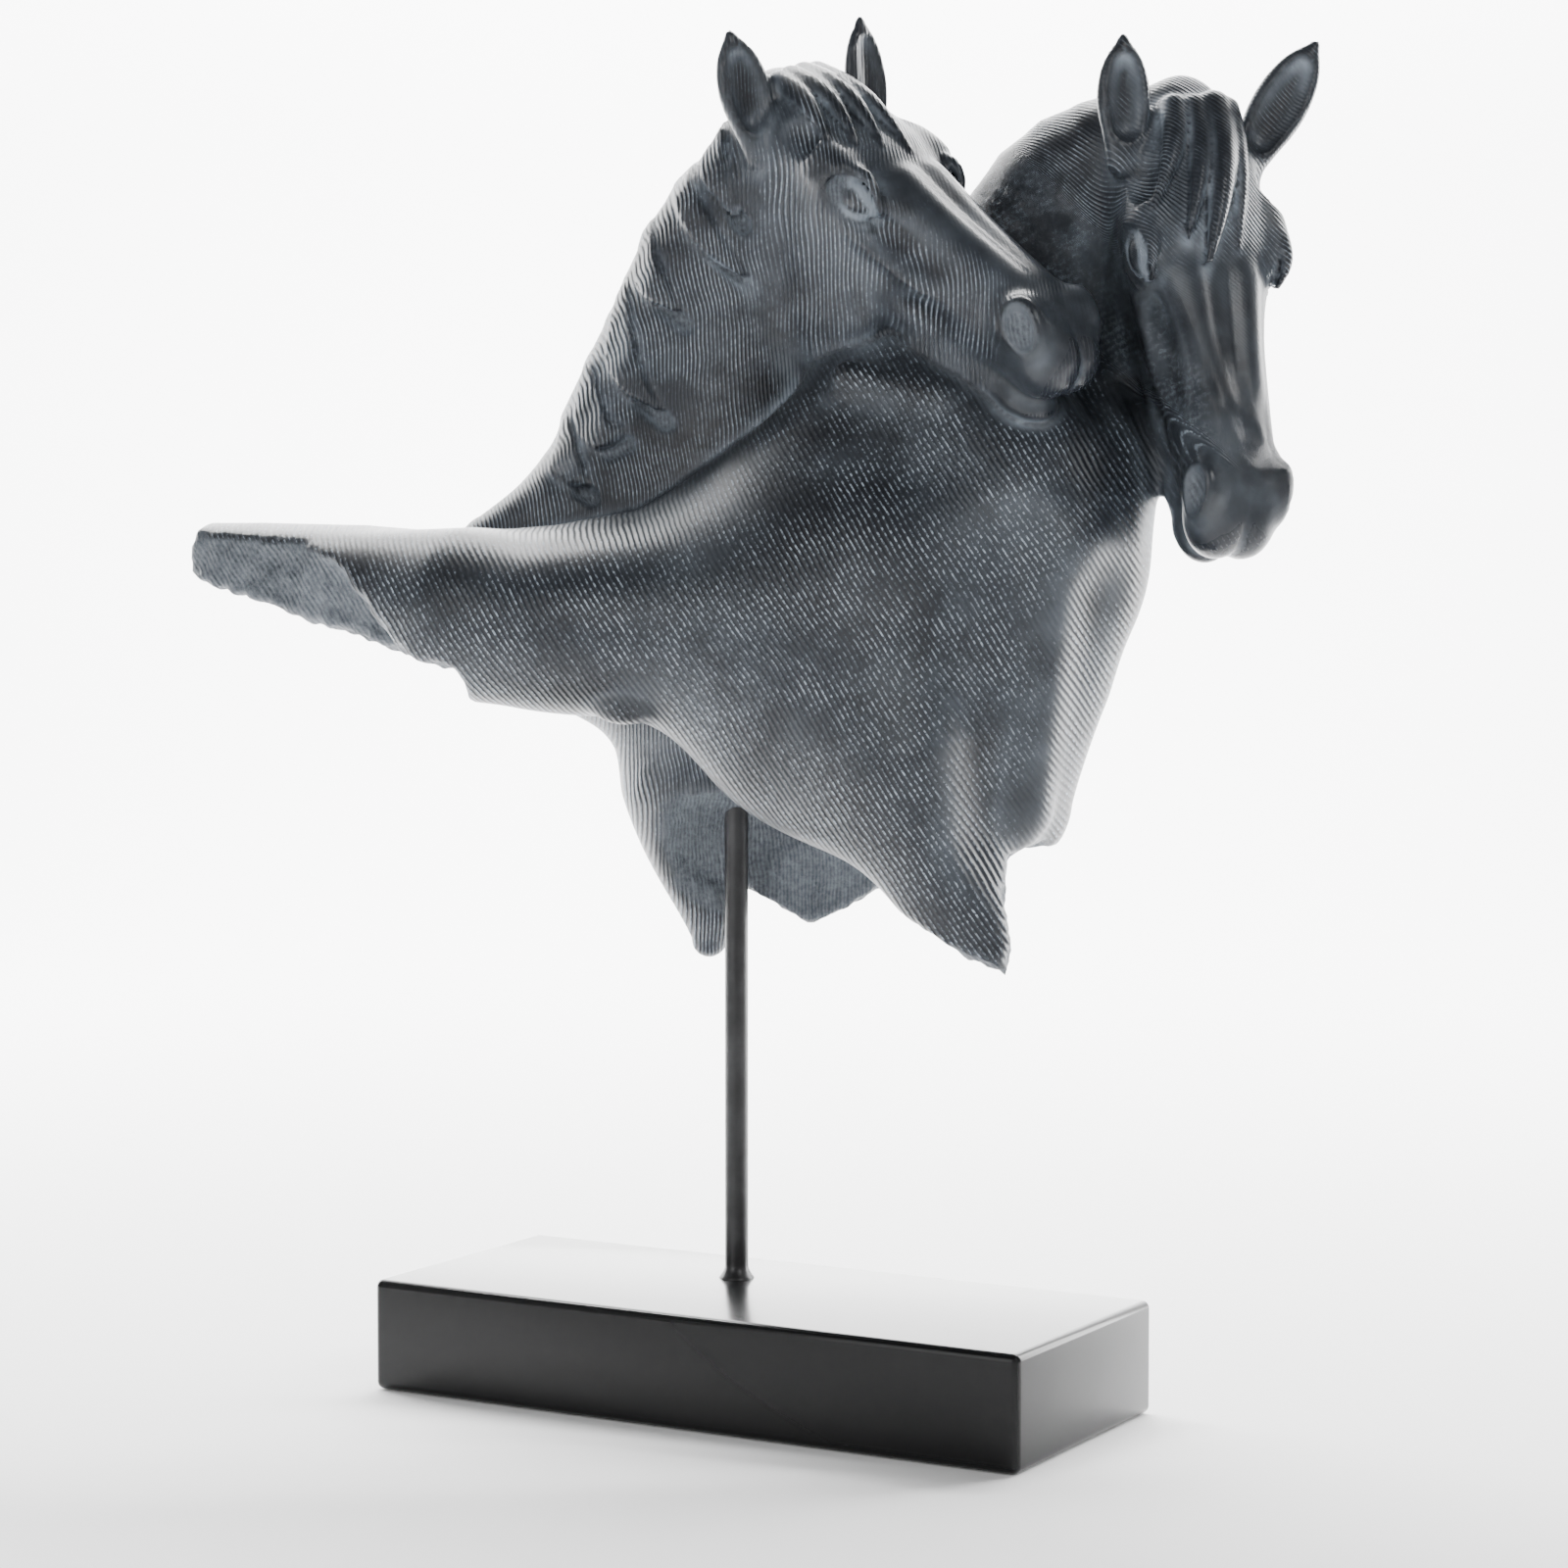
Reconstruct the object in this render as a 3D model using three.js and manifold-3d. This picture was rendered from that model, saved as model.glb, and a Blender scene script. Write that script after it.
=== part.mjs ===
// Two horse heads on one broken fragment of neck and shoulder, held over a rectangular
// block by a plain round rod. Millimetres, +Z up, origin under the middle of the block.
import * as THREE from 'three';
import Module from 'manifold-3d';
import { mergeVertices } from 'three/addons/utils/BufferGeometryUtils.js';
import { RoundedBoxGeometry } from 'three/addons/geometries/RoundedBoxGeometry.js';

// Driving dimensions, in millimetres and degrees
const BLOCK_LENGTH = 246;
const BLOCK_DEPTH = 101;
const BLOCK_HEIGHT = 38;
const BLOCK_EDGE_RADIUS = 2.5;
const ROD_RADIUS = 4;
const ROD_OFFSET_X = -17;
const ROD_OFFSET_Y = 15;
const ROD_SPAN = 150;
const ROD_SEAT_DEPTH = 24;
const SOCKET_DEPTH = 34;
const FIT_GAP = 0.3;
const COLLAR_RADIUS = 6.5;
const COLLAR_HEIGHT = 4;
const FIGURE_HEIGHT = 324;
const FIGURE_TURN = 30;

// Fineness of the faceted solid: cell in the figure's own units, triangles in all
const CELL = 4.2;
const COARSE_CELLS = 3;
const TRIANGLE_TARGET = 7900;
const ROD_SIDES = 32;
const EAR_RINGS = 7;
const EAR_SIDES = 6;

// The figure is drawn at this height in its own units, which are millimetres at full size.
// Its origin is the mouth of the socket; x runs to its left horse's nose, y to its far side.
const DRAWN_HEIGHT = 324;
const DRAWN_MOUTH = [-7, 21.5, 188];
const HEAD_LENGTH = 150;

const COLOURS = { resin: 0x343b45, rod: 0x1b1c1f, block: 0x17181a };

// Vectors
const sub = (a, b) => [a[0] - b[0], a[1] - b[1], a[2] - b[2]];
const dot = (a, b) => a[0] * b[0] + a[1] * b[1] + a[2] * b[2];
const scaled = (a, k) => [a[0] * k, a[1] * k, a[2] * k];
const length = (a) => Math.sqrt(dot(a, a));
const unit = (a) => scaled(a, 1 / length(a));
const cross = (a, b) => [
  a[1] * b[2] - a[2] * b[1],
  a[2] * b[0] - a[0] * b[2],
  a[0] * b[1] - a[1] * b[0],
];

// Right-handed axes from a forward direction and a rough upward one
function axesOf(forward, upward) {
  const u = unit(forward);
  const v = unit(cross(upward, u));
  return [u, v, cross(u, v)];
}

// Signed distances: each shape is a function of a point, negative inside
function smin(a, b, k) {
  const h = Math.max(k - Math.abs(a - b), 0) / k;
  return Math.min(a, b) - (h * h * k) / 4;
}

const smax = (a, b, k) => -smin(-a, -b, k);

// Shapes run together with a soft seam k wide
const blend = (k, ...shapes) => (p) => shapes.map((f) => f(p)).reduce((a, b) => smin(a, b, k));

function ball(centre, radii, axes = null) {
  return (p) => {
    const d = sub(p, centre);
    const q = axes ? axes.map((a) => dot(a, d)) : d;
    const once = [q[0] / radii[0], q[1] / radii[1], q[2] / radii[2]];
    const twice = [once[0] / radii[0], once[1] / radii[1], once[2] / radii[2]];
    const near = length(once);
    return (near * (near - 1)) / (length(twice) + 1e-6);
  };
}

// A round limb that tapers from one end to the other
function limb(a, b, radiusA, radiusB) {
  const run = sub(b, a);
  const span = dot(run, run);
  return (p) => {
    const q = sub(p, a);
    const t = Math.min(Math.max(dot(q, run) / span, 0), 1);
    return length(sub(q, scaled(run, t))) - (radiusA + (radiusB - radiusA) * t);
  };
}

// Points on a smooth curve through the given rows, radii included
function curve(rows, count) {
  const last = rows.length - 1;
  const before = rows[0].map((c, i) => 2 * c - rows[1][i]);
  const after = rows[last].map((c, i) => 2 * c - rows[last - 1][i]);
  const all = [before, ...rows, after];
  return Array.from({ length: count + 1 }, (_, n) => {
    const s = (n / count) * last;
    const j = Math.min(Math.floor(s), last - 1);
    const t = s - j;
    const [a, b, c, d] = all.slice(j, j + 4);
    return a.map((_, i) => 0.5 * (2 * b[i] + (c[i] - a[i]) * t
      + (2 * a[i] - 5 * b[i] + 4 * c[i] - d[i]) * t * t
      + (3 * b[i] - a[i] - 3 * c[i] + d[i]) * t ** 3));
  });
}

// A round strand through rows of x, y, z, radius
function strand(rows, count = 6) {
  const points = curve(rows, count);
  const limbs = points.slice(1).map((b, i) => {
    const a = points[i];
    return limb(a.slice(0, 3), b.slice(0, 3), a[3], b[3]);
  });
  return (p) => Math.min(...limbs.map((f) => f(p)));
}

// An oval trunk through rows of x, y, z, breadth, thickness; side is the way of its thickness
function trunk(rows, side, count = 10) {
  const points = curve(rows, count);
  const pieces = points.slice(1).map((b, i) => trunkPiece(points[i], b, side));
  return (p) => Math.min(...pieces.map((f) => f(p)));
}

function trunkPiece(a, b, side) {
  const run = sub(b, a);
  const reach = length(run);
  const along = scaled(run, 1 / reach);
  const thick = unit(sub(side, scaled(along, dot(side, along))));
  const broad = cross(along, thick);
  return (p) => {
    const d = sub(p, a);
    const t = Math.min(Math.max(dot(d, along) / reach, 0), 1);
    const q = sub(d, scaled(run, t));
    const breadth = a[3] + (b[3] - a[3]) * t;
    const thickness = a[4] + (b[4] - a[4]) * t;
    const axes = [broad, thick, along];
    return ball([0, 0, 0], [breadth, thickness, Math.min(breadth, thickness)], axes)(q);
  };
}

// The flat side of a cut: positive on the side that its normal points to
function beyond(point, normal) {
  const n = unit(normal);
  return (p) => dot(n, sub(p, point));
}

// A smooth line of values through rows of position, value
function profile(rows) {
  const last = rows.length - 1;
  const slope = (i) => {
    const [a, b] = [rows[Math.max(i - 1, 0)], rows[Math.min(i + 1, last)]];
    return (b[1] - a[1]) / (b[0] - a[0]);
  };
  return (at) => {
    const x = Math.min(Math.max(at, rows[0][0]), rows[last][0]);
    let i = 0;
    while (i < last - 1 && x >= rows[i + 1][0]) i += 1;
    const h = rows[i + 1][0] - rows[i][0];
    const t = (x - rows[i][0]) / h;
    return (2 * t ** 3 - 3 * t * t + 1) * rows[i][1] + (t ** 3 - 2 * t * t + t) * h * slope(i)
      + (3 * t * t - 2 * t ** 3) * rows[i + 1][1] + (t ** 3 - t * t) * h * slope(i + 1);
  };
}

// Uneven broken stone: a few crossing waves, about -1 to 1
function roughness(scale, seed) {
  const waves = Array.from({ length: 6 }, (_, i) => {
    const n = i + 6 * seed;
    const z = ((n * 0.618034) % 1) * 2 - 1;
    const r = Math.sqrt(1 - z * z);
    const k = ((2 * Math.PI) / scale) * (0.7 + 0.12 * i);
    return { k: [r * Math.cos(2.4 * n) * k, r * Math.sin(2.4 * n) * k, z * k], phase: 1.7 * n };
  });
  return (p) => waves.reduce((sum, w) => sum + Math.sin(dot(w.k, p) + w.phase), 0) / 3.2;
}

// The horse's head in its own length: s from poll to lips, v to its left, w up from the face
const TOP_LINE = profile([[-0.06, -0.06], [0, -0.01], [0.08, 0.03], [0.18, 0.045], [0.3, 0.04],
  [0.42, 0.018], [0.56, -0.004], [0.7, -0.012], [0.8, -0.016], [0.88, -0.03], [0.94, -0.055],
  [1, -0.1]]);
const JAW_LINE = profile([[-0.06, -0.24], [0.05, -0.3], [0.2, -0.35], [0.35, -0.34], [0.5, -0.33],
  [0.62, -0.3], [0.74, -0.265], [0.82, -0.245], [0.9, -0.235], [1, -0.21]]);
const HALF_WIDTH = profile([[-0.06, 0.11], [0.06, 0.14], [0.18, 0.16], [0.3, 0.165], [0.4, 0.145],
  [0.52, 0.125], [0.64, 0.109], [0.76, 0.097], [0.86, 0.094], [0.94, 0.088], [1, 0.07]]);

function skull([s, v, w]) {
  const middle = (TOP_LINE(s) + JAW_LINE(s)) / 2;
  const half = (TOP_LINE(s) - JAW_LINE(s)) / 2;
  const rise = (w - middle) / half;
  const wide = HALF_WIDTH(s) * (1 - 0.2 * Math.min(Math.max(-rise, -0.5), 1.1));
  const round = 2.5;
  const k = (Math.abs(v / wide) ** round + Math.abs(rise) ** round) ** (1 / round);
  return smax((k - 1) * Math.min(wide, half) * 0.95, Math.abs(s - 0.455) - 0.505, 0.1);
}

// Each row: seam width, then the shape that the seam joins to the skull
const HEAD_FORMS = [
  // jowl, jaw and chin bar
  [0.03, ball([0.32, 0.088, -0.3], [0.195, 0.068, 0.195])],
  [0.05, limb([0.42, 0.06, -0.45], [0.7, 0.03, -0.315], 0.055, 0.04)],
  [0.04, limb([0.62, 0.02, -0.285], [0.88, 0.018, -0.265], 0.042, 0.04)],
  // brow, cheek crest and nose ridge
  [0.035, ball([0.3, 0.142, -0.045], [0.078, 0.045, 0.06])],
  [0.03, limb([0.23, 0.138, -0.01], [0.33, 0.158, -0.018], 0.024, 0.018)],
  [0.03, limb([0.4, 0.13, -0.125], [0.62, 0.102, -0.15], 0.022, 0.014)],
  [0.03, limb([0.42, 0.052, -0.012], [0.78, 0.034, -0.045], 0.03, 0.026)],
];
const HEAD_HOLLOWS = [
  [0.03, ball([0.19, 0.155, -0.01], [0.05, 0.03, 0.03])],
  [0.04, ball([0.58, 0.128, -0.085], [0.13, 0.03, 0.035])],
  [0.04, ball([0.68, 0.122, -0.215], [0.12, 0.032, 0.045])],
];
const MUZZLE_FORMS = [
  [0.03, ball([0.865, 0.074, -0.085], [0.075, 0.042, 0.062])],
  [0.035, ball([0.925, 0.03, -0.135], [0.07, 0.066, 0.078])],
  [0.02, ball([0.9, 0, -0.262], [0.068, 0.062, 0.044])],
  [0.02, ball([0.06, 0, -0.045], [0.15, 0.105, 0.07])],
];

const NOSTRIL_AXES = axesOf([1, 0.1, 0.35], [0, 0, 1]);
const FACE_DETAILS = {
  lids: blend(0.02, limb([0.305, 0.169, -0.066], [0.35, 0.181, -0.044], 0.015, 0.016),
    limb([0.35, 0.181, -0.044], [0.395, 0.159, -0.072], 0.016, 0.012),
    limb([0.31, 0.167, -0.096], [0.35, 0.169, -0.112], 0.011, 0.012),
    limb([0.35, 0.169, -0.112], [0.392, 0.157, -0.09], 0.012, 0.009)),
  socket: ball([0.35, 0.185, -0.078], [0.038, 0.028, 0.026]),
  eyeball: ball([0.35, 0.161, -0.078], [0.036, 0.022, 0.028]),
  nostrilRim: ball([0.866, 0.098, -0.075], [0.052, 0.022, 0.038], NOSTRIL_AXES),
  nostril: ball([0.866, 0.12, -0.075], [0.04, 0.018, 0.025], NOSTRIL_AXES),
  mouth: strand([[0.8, 0.092, -0.228, 0.006], [0.87, 0.082, -0.212, 0.009],
    [0.95, 0.068, -0.2, 0.01], [1, 0.045, -0.196, 0.009], [1.03, 0, -0.196, 0.008]], 8),
};

// How far a point is outside the round space that a head fills, in head lengths
const HEAD_MIDDLE = [0.45, 0, -0.15];
const HEAD_REACH = 0.66;
const outsideHead = (q) => length(sub(q, HEAD_MIDDLE)) - HEAD_REACH;

// The bare head and its forelock, at q in head lengths
function headShape(q, forelock) {
  if (outsideHead(q) > 0.1) return outsideHead(q);
  const folded = [q[0], Math.abs(q[1]), q[2]];
  let d = skull(q);
  for (const [k, form] of HEAD_FORMS) d = smin(d, form(folded), k);
  for (const [k, hollow] of HEAD_HOLLOWS) d = smax(d, -hollow(folded), k);
  for (const [k, form] of MUZZLE_FORMS) d = smin(d, form(folded), k);
  for (const lock of forelock) d = smin(d, lock(q), 0.012);
  return d;
}

// Eyes, nostrils and mouth worked into a surface at distance d, in head lengths
function faceDetails(d, q) {
  if (outsideHead(q) > 0) return d;
  const folded = [q[0], Math.abs(q[1]), q[2]];
  const f = FACE_DETAILS;
  let out = smin(d, f.lids(folded), 0.02);
  out = smax(out, -f.socket(folded), 0.012);
  out = smin(out, f.eyeball(folded), 0.004);
  out = smin(out, f.nostrilRim(folded), 0.02);
  out = smax(out, -f.nostril(folded), 0.01);
  return smax(out, -f.mouth(folded), 0.012);
}

// Where each head sits: its poll, the way it points and the way that its face looks
function head(poll, forward, upward, forelock) {
  const axes = axesOf(forward, upward);
  const local = (p) => axes.map((a) => dot(a, sub(p, poll)) / HEAD_LENGTH);
  return { local, forelock: forelock.map((rows) => strand(rows)) };
}

// Forelock strands run from the poll down the brow, each given by its start, way and reach
function forelockStrand(v0, v1, reach, rise, thick) {
  return [0, 1, 2, 3].map((n) => {
    const t = n / 3;
    const height = rise * Math.sin(Math.PI * (0.12 + 0.66 * t));
    return [0.02 + reach * t, v0 + (v1 - v0) * t ** 1.5, height, Math.max(thick * (1 - t ** 2), 0.006)];
  });
}

const FAR_HEAD = head([13, 5, 444.5], [0.64, -0.514, -0.571], [0.297, -0.519, 0.801], [
  forelockStrand(-0.04, -0.1, 0.28, 0.045, 0.036),
  forelockStrand(0, -0.055, 0.31, 0.052, 0.036),
  forelockStrand(0.04, 0.01, 0.34, 0.044, 0.036),
]);
const NEAR_HEAD = head([143, -22.5, 433], [0.111, -0.355, -0.928], [0.339, -0.864, 0.371], [
  forelockStrand(0.03, -0.055, 0.4, 0.052, 0.042),
  forelockStrand(-0.05, -0.15, 0.25, 0.03, 0.036),
  forelockStrand(0.055, 0.03, 0.34, 0.04, 0.034),
]);

// Mane locks that fall from the far horse's crest down the near side of its neck
const MANE_LOCKS = [
  [[-8, 14, 430, 4], [-13, 6, 422, 6], [-14, 2, 413, 5.5], [-7, -2, 400, 2]],
  [[-24, 20, 416, 4], [-22, 8, 405, 6.5], [-16, 1, 392, 5.5], [-4.5, -2, 379, 1.5]],
  [[-37, 20, 396, 4], [-38, 12, 384, 6.5], [-34, 7, 376, 5.5], [-27, 3.5, 368, 2]],
  [[-46, 20, 374, 4], [-47, 12, 358, 7], [-42, 7, 345, 5.5], [-33, 3, 335, 1.5]],
  [[-59, 22, 348, 4], [-57, 13, 333, 7], [-52, 9, 327, 5.5], [-46, 6, 328, 2]],
  [[-67, 22, 330, 4], [-66, 14, 319, 6], [-62, 11, 314, 4.5], [-58, 9, 310, 2]],
].map((rows) => strand(rows));

// The near horse: breast, neck, and the back ridge that runs out into the broken wing
const NEAR_BODY = [
  [14, ball([86, -20, 290], [44, 39, 55])],
  [14, limb([80, -15, 243], [77, -12, 206], 33, 28)],
  [10, trunk([[78, -12, 307, 54, 35], [75, 6, 346, 54, 24], [93, 7, 381, 34, 23],
    [106, 3, 405, 28, 21], [126, -7, 419, 22, 19]], [0, 1, 0])],
  [22, strand([[58, -12, 330, 25], [33, -8, 322, 24], [0, -2, 299, 23], [-39, 1, 275, 23],
    [-87, 3, 273, 20], [-136, 14, 281, 15], [-185, 33, 286, 11], [-209, 41, 287, 9]], 10)],
  [22, ball([-48, -23, 263], [74, 33, 30])],
  [12, limb([-100, -20, 268], [-190, 22, 284], 26, 10)],
  [18, limb([50, -40, 215], [73, -52, 158], 33, 13)],
  [16, limb([99, -50, 290], [92, -44, 205], 9, 7)],
];
const NEAR_BREAST = ball([40, -23, 256], [72, 45, 68]);

// The far horse: breast, back, neck, and the thin flap that hangs lowest
const FAR_BODY = [
  [18, strand([[-20, 34, 268, 35], [-58, 37, 266, 28], [-88, 37, 270, 22], [-104, 38, 272, 15]], 6)],
  [16, trunk([[-24, 31, 260, 62, 35], [-20, 31, 315, 52, 32], [-12, 27, 354, 42, 27],
    [-3, 21, 387, 35, 24], [13, 13, 412, 28, 22]], [0.1, 1, 0])],
  [12, limb([-66, 28, 301], [-92, 32, 291], 17, 9)],
  [12, ball([20, 38, 186], [30, 20, 28])],
  [14, limb([-12, 40, 200], [-17, 44, 152.5], 29, 6)],
];
const FAR_BREAST = ball([-4, 41, 236], [46, 33, 76]);

const HEAD_SEAM = 9;
const HORSE_SEAM = 3;

function horse(p, breast, body, headAt) {
  let d = breast(p);
  for (const [k, form] of body) d = smin(d, form(p), k);
  return smin(d, headShape(headAt.local(p), headAt.forelock) * HEAD_LENGTH, HEAD_SEAM);
}

const COARSE_BREAK = roughness(24, 1);
const COARSE_BREAK_DEPTH = 1.3;
const FINE_BREAK = roughness(9, 2);
const FINE_BREAK_DEPTH = 0.7;

// Broken faces: each row is the edge softness and the flat sides that the cut lies beyond
const LEFT_END = beyond([-95, 0, 0], [-1, 0, 0]);
const FAR_HALF = beyond([0, 0, 0], [0, 1, 0]);
const BREAKS = [
  [3, beyond([-137, -14, 280], [-0.54, -0.84, -0.08]), beyond([-112, 0, 252], [-0.75, 0, -0.66])],
  [6, beyond([-192.5, 0, 284], [-1, 0, 0])],
  [4, beyond([-110, 0, 252.5], [-0.31, 0, -0.95]), LEFT_END],
  [3, beyond([80.5, 0, 0], [1, 0, 0]), beyond([0, 0, 181], [0.1, 0, -1])],
  [3, beyond([10, 0, 164], [-0.5, 0, -0.87]), beyond([-9, 0, 0], [1, 0, 0]), FAR_HALF],
  [3, beyond([28, 0, 163.5], [0.45, 0, -0.89]), beyond([14, 0, 0], [1, 0, 0]), FAR_HALF],
];
const SHELL_EDGE = [
  beyond([-42, 0, 233], [-0.56, 0, -0.83]),
  beyond([-78, 0, 234], [-0.325, 0, -0.946]),
  beyond([74, 0, 160], [-0.4, 0, -0.92]),
];
const SHELL_DEPTH = beyond([0, -6, 0], [0, -1, 0]);
const UNDERSIDE_HOLLOW = ball([12, 2, 166], [86, 29, 44]);

function broken(d, p) {
  const rough = COARSE_BREAK_DEPTH * COARSE_BREAK(p) + FINE_BREAK_DEPTH * FINE_BREAK(p);
  let out = d;
  for (const [k, ...sides] of BREAKS) out = smax(out, blend(4, ...sides)(p) + rough, k);
  out = smax(out, blend(6, ...SHELL_EDGE, SHELL_DEPTH)(p) + rough, 3);
  return smax(out, -UNDERSIDE_HOLLOW(p) - rough, 5);
}

// The whole figure without its ears
function figureField(p) {
  const near = horse(p, NEAR_BREAST, NEAR_BODY, NEAR_HEAD);
  const far = horse(p, FAR_BREAST, FAR_BODY, FAR_HEAD);
  let d = broken(smin(near, far, HORSE_SEAM), p);
  for (const headAt of [FAR_HEAD, NEAR_HEAD]) {
    d = faceDetails(d / HEAD_LENGTH, headAt.local(p)) * HEAD_LENGTH;
  }
  if (Math.abs(d) > 2 * CELL) return d;
  return MANE_LOCKS.reduce((surface, lock) => smin(surface, lock(p), 2.5), d);
}

// Distances on a grid: worked out only where a coarse first look finds the surface close by
const FIELD_LOW = [-204, -96, 132];
const FIELD_HIGH = [192, 88, 474];

function eachOf(count, visit) {
  for (let i = 0; i < count[0]; i += 1) {
    for (let j = 0; j < count[1]; j += 1) {
      for (let k = 0; k < count[2]; k += 1) visit(i, j, k);
    }
  }
}

function sampleField(field) {
  const wide = CELL * COARSE_CELLS;
  const coarse = FIELD_LOW.map((low, i) => Math.ceil((FIELD_HIGH[i] - low) / wide));
  const size = coarse.map((n) => n * COARSE_CELLS + 1);
  const values = new Float32Array(size[0] * size[1] * size[2]);
  const known = new Uint8Array(values.length);
  const index = (i, j, k) => (i * size[1] + j) * size[2] + k;
  const at = (i, j, k) => [i, j, k].map((n, axis) => FIELD_LOW[axis] + n * CELL);
  const cube = [COARSE_CELLS + 1, COARSE_CELLS + 1, COARSE_CELLS + 1];
  eachOf(coarse, (a, b, c) => {
    const [i0, j0, k0] = [a, b, c].map((n) => n * COARSE_CELLS);
    const half = wide / 2;
    const middle = field(at(i0, j0, k0).map((x) => x + half));
    const close = Math.abs(middle) < wide * 1.7;
    eachOf(cube, (i, j, k) => {
      const n = index(i0 + i, j0 + j, k0 + k);
      if (known[n]) return;
      if (!close) {
        values[n] = middle;
        return;
      }
      values[n] = field(at(i0 + i, j0 + j, k0 + k));
      known[n] = 1;
    });
  });
  return { values, size, index, cornerSteps: CORNERS.map((c) => index(...c)) };
}

// Corners of a cell in order of their bits, and the sets of corners that hang together
const CORNERS = Array.from({ length: 8 }, (_, n) => [n & 1, (n >> 1) & 1, (n >> 2) & 1]);

function hangsTogether(mask) {
  if (mask === 0) return true;
  const first = CORNERS.findIndex((_, n) => mask & (1 << n));
  let seen = 1 << first;
  for (let pass = 0; pass < 4; pass += 1) {
    for (let n = 0; n < 8; n += 1) {
      const beside = (seen & (1 << (n ^ 1))) | (seen & (1 << (n ^ 2))) | (seen & (1 << (n ^ 4)));
      if (mask & (1 << n) && beside) seen |= 1 << n;
    }
  }
  return seen === mask;
}

const PLAIN_CELL = Array.from({ length: 256 }, (_, m) => hangsTogether(m) && hangsTogether(255 - m));

function cellMask(grid, i, j, k) {
  const start = grid.index(i, j, k);
  let mask = 0;
  for (let n = 0; n < 8; n += 1) {
    if (grid.values[start + grid.cornerSteps[n]] < 0) mask |= 1 << n;
  }
  return mask;
}

const eachCell = (grid, visit) => eachOf(grid.size.map((n) => n - 1), visit);

// Cells where two sheets of surface meet are filled, so that each cell holds one sheet
function fillDoubtfulCells(grid) {
  let changed = true;
  while (changed) {
    changed = false;
    eachCell(grid, (i, j, k) => {
      if (PLAIN_CELL[cellMask(grid, i, j, k)]) return;
      const outside = CORNERS.map((c) => grid.index(i + c[0], j + c[1], k + c[2]))
        .filter((n) => grid.values[n] >= 0);
      const nearest = outside.reduce((a, b) => (grid.values[a] < grid.values[b] ? a : b));
      grid.values[nearest] = -CELL * 0.05;
      changed = true;
    });
  }
}

// One vertex for each cell that the surface passes, at the middle of its crossings
function cellVertices(grid, field) {
  const vertices = [];
  const vertexOf = new Map();
  eachCell(grid, (i, j, k) => {
    const mask = cellMask(grid, i, j, k);
    if (mask === 0 || mask === 255) return;
    const crossings = [];
    CORNERS.forEach((c, n) => {
      for (let axis = 0; axis < 3; axis += 1) {
        const m = n | (1 << axis);
        if (m === n || ((mask >> n) & 1) === ((mask >> m) & 1)) continue;
        const d = CORNERS[m];
        const a = grid.values[grid.index(i + c[0], j + c[1], k + c[2])];
        const b = grid.values[grid.index(i + d[0], j + d[1], k + d[2])];
        const t = a / (a - b);
        crossings.push([i, j, k].map((cell, x) => cell + c[x] + (d[x] - c[x]) * t));
      }
    });
    const centre = [0, 1, 2].map((x) => crossings.reduce((s, q) => s + q[x], 0) / crossings.length);
    vertexOf.set(grid.index(i, j, k), vertices.length);
    vertices.push(pulledToSurface(centre.map((x, axis) => FIELD_LOW[axis] + x * CELL), field));
  });
  return { vertices, vertexOf };
}

// A short step down the slope of the field, so that ridges keep their height
const SLOPE_PROBE = 0.4;
const LEAST_STEEPNESS = 0.25;
const STEP_SHARE = 0.8;

function pulledToSurface(p, field) {
  const slope = [0, 1, 2].map((axis) => {
    const [a, b] = [[...p], [...p]];
    a[axis] -= SLOPE_PROBE;
    b[axis] += SLOPE_PROBE;
    return (field(b) - field(a)) / (2 * SLOPE_PROBE);
  });
  const steep = Math.max(dot(slope, slope), LEAST_STEEPNESS);
  const step = Math.min(Math.max(field(p) / steep, -CELL / 3), CELL / 3);
  return sub(p, scaled(slope, step * STEP_SHARE));
}

// Two triangles across each grid edge that the surface crosses
function surfaceMesh(field) {
  const grid = sampleField(field);
  fillDoubtfulCells(grid);
  const { vertices, vertexOf } = cellVertices(grid, field);
  const triangles = [];
  eachCell(grid, (i, j, k) => {
    if (!i || !j || !k) return;
    for (let axis = 0; axis < 3; axis += 1) {
      const step = [0, 1, 2].map((x) => (x === axis ? 1 : 0));
      const a = grid.values[grid.index(i, j, k)] < 0;
      const b = grid.values[grid.index(i + step[0], j + step[1], k + step[2])] < 0;
      if (a === b) continue;
      const [p, q] = [(axis + 1) % 3, (axis + 2) % 3];
      const corner = (dp, dq) => {
        const cell = [i, j, k];
        cell[p] -= dp;
        cell[q] -= dq;
        return vertexOf.get(grid.index(...cell));
      };
      const ring = [corner(1, 1), corner(0, 1), corner(0, 0), corner(1, 0)];
      if (!a) ring.reverse();
      triangles.push([ring[0], ring[1], ring[2]], [ring[0], ring[2], ring[3]]);
    }
  });
  return largestShell({ vertices, triangles });
}

// The outer shell alone: sealed hollows inside the form are filled
function largestShell({ vertices, triangles }) {
  const root = vertices.map((_, n) => n);
  const find = (n) => {
    let top = n;
    while (root[top] !== top) top = root[top];
    root[n] = top;
    return top;
  };
  for (const [a, b, c] of triangles) {
    root[find(b)] = find(a);
    root[find(c)] = find(a);
  }
  const counts = new Map();
  for (const [a] of triangles) counts.set(find(a), (counts.get(find(a)) ?? 0) + 1);
  const main = [...counts].sort((p, q) => q[1] - p[1])[0][0];
  return { vertices, triangles: triangles.filter(([a]) => find(a) === main) };
}

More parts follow.
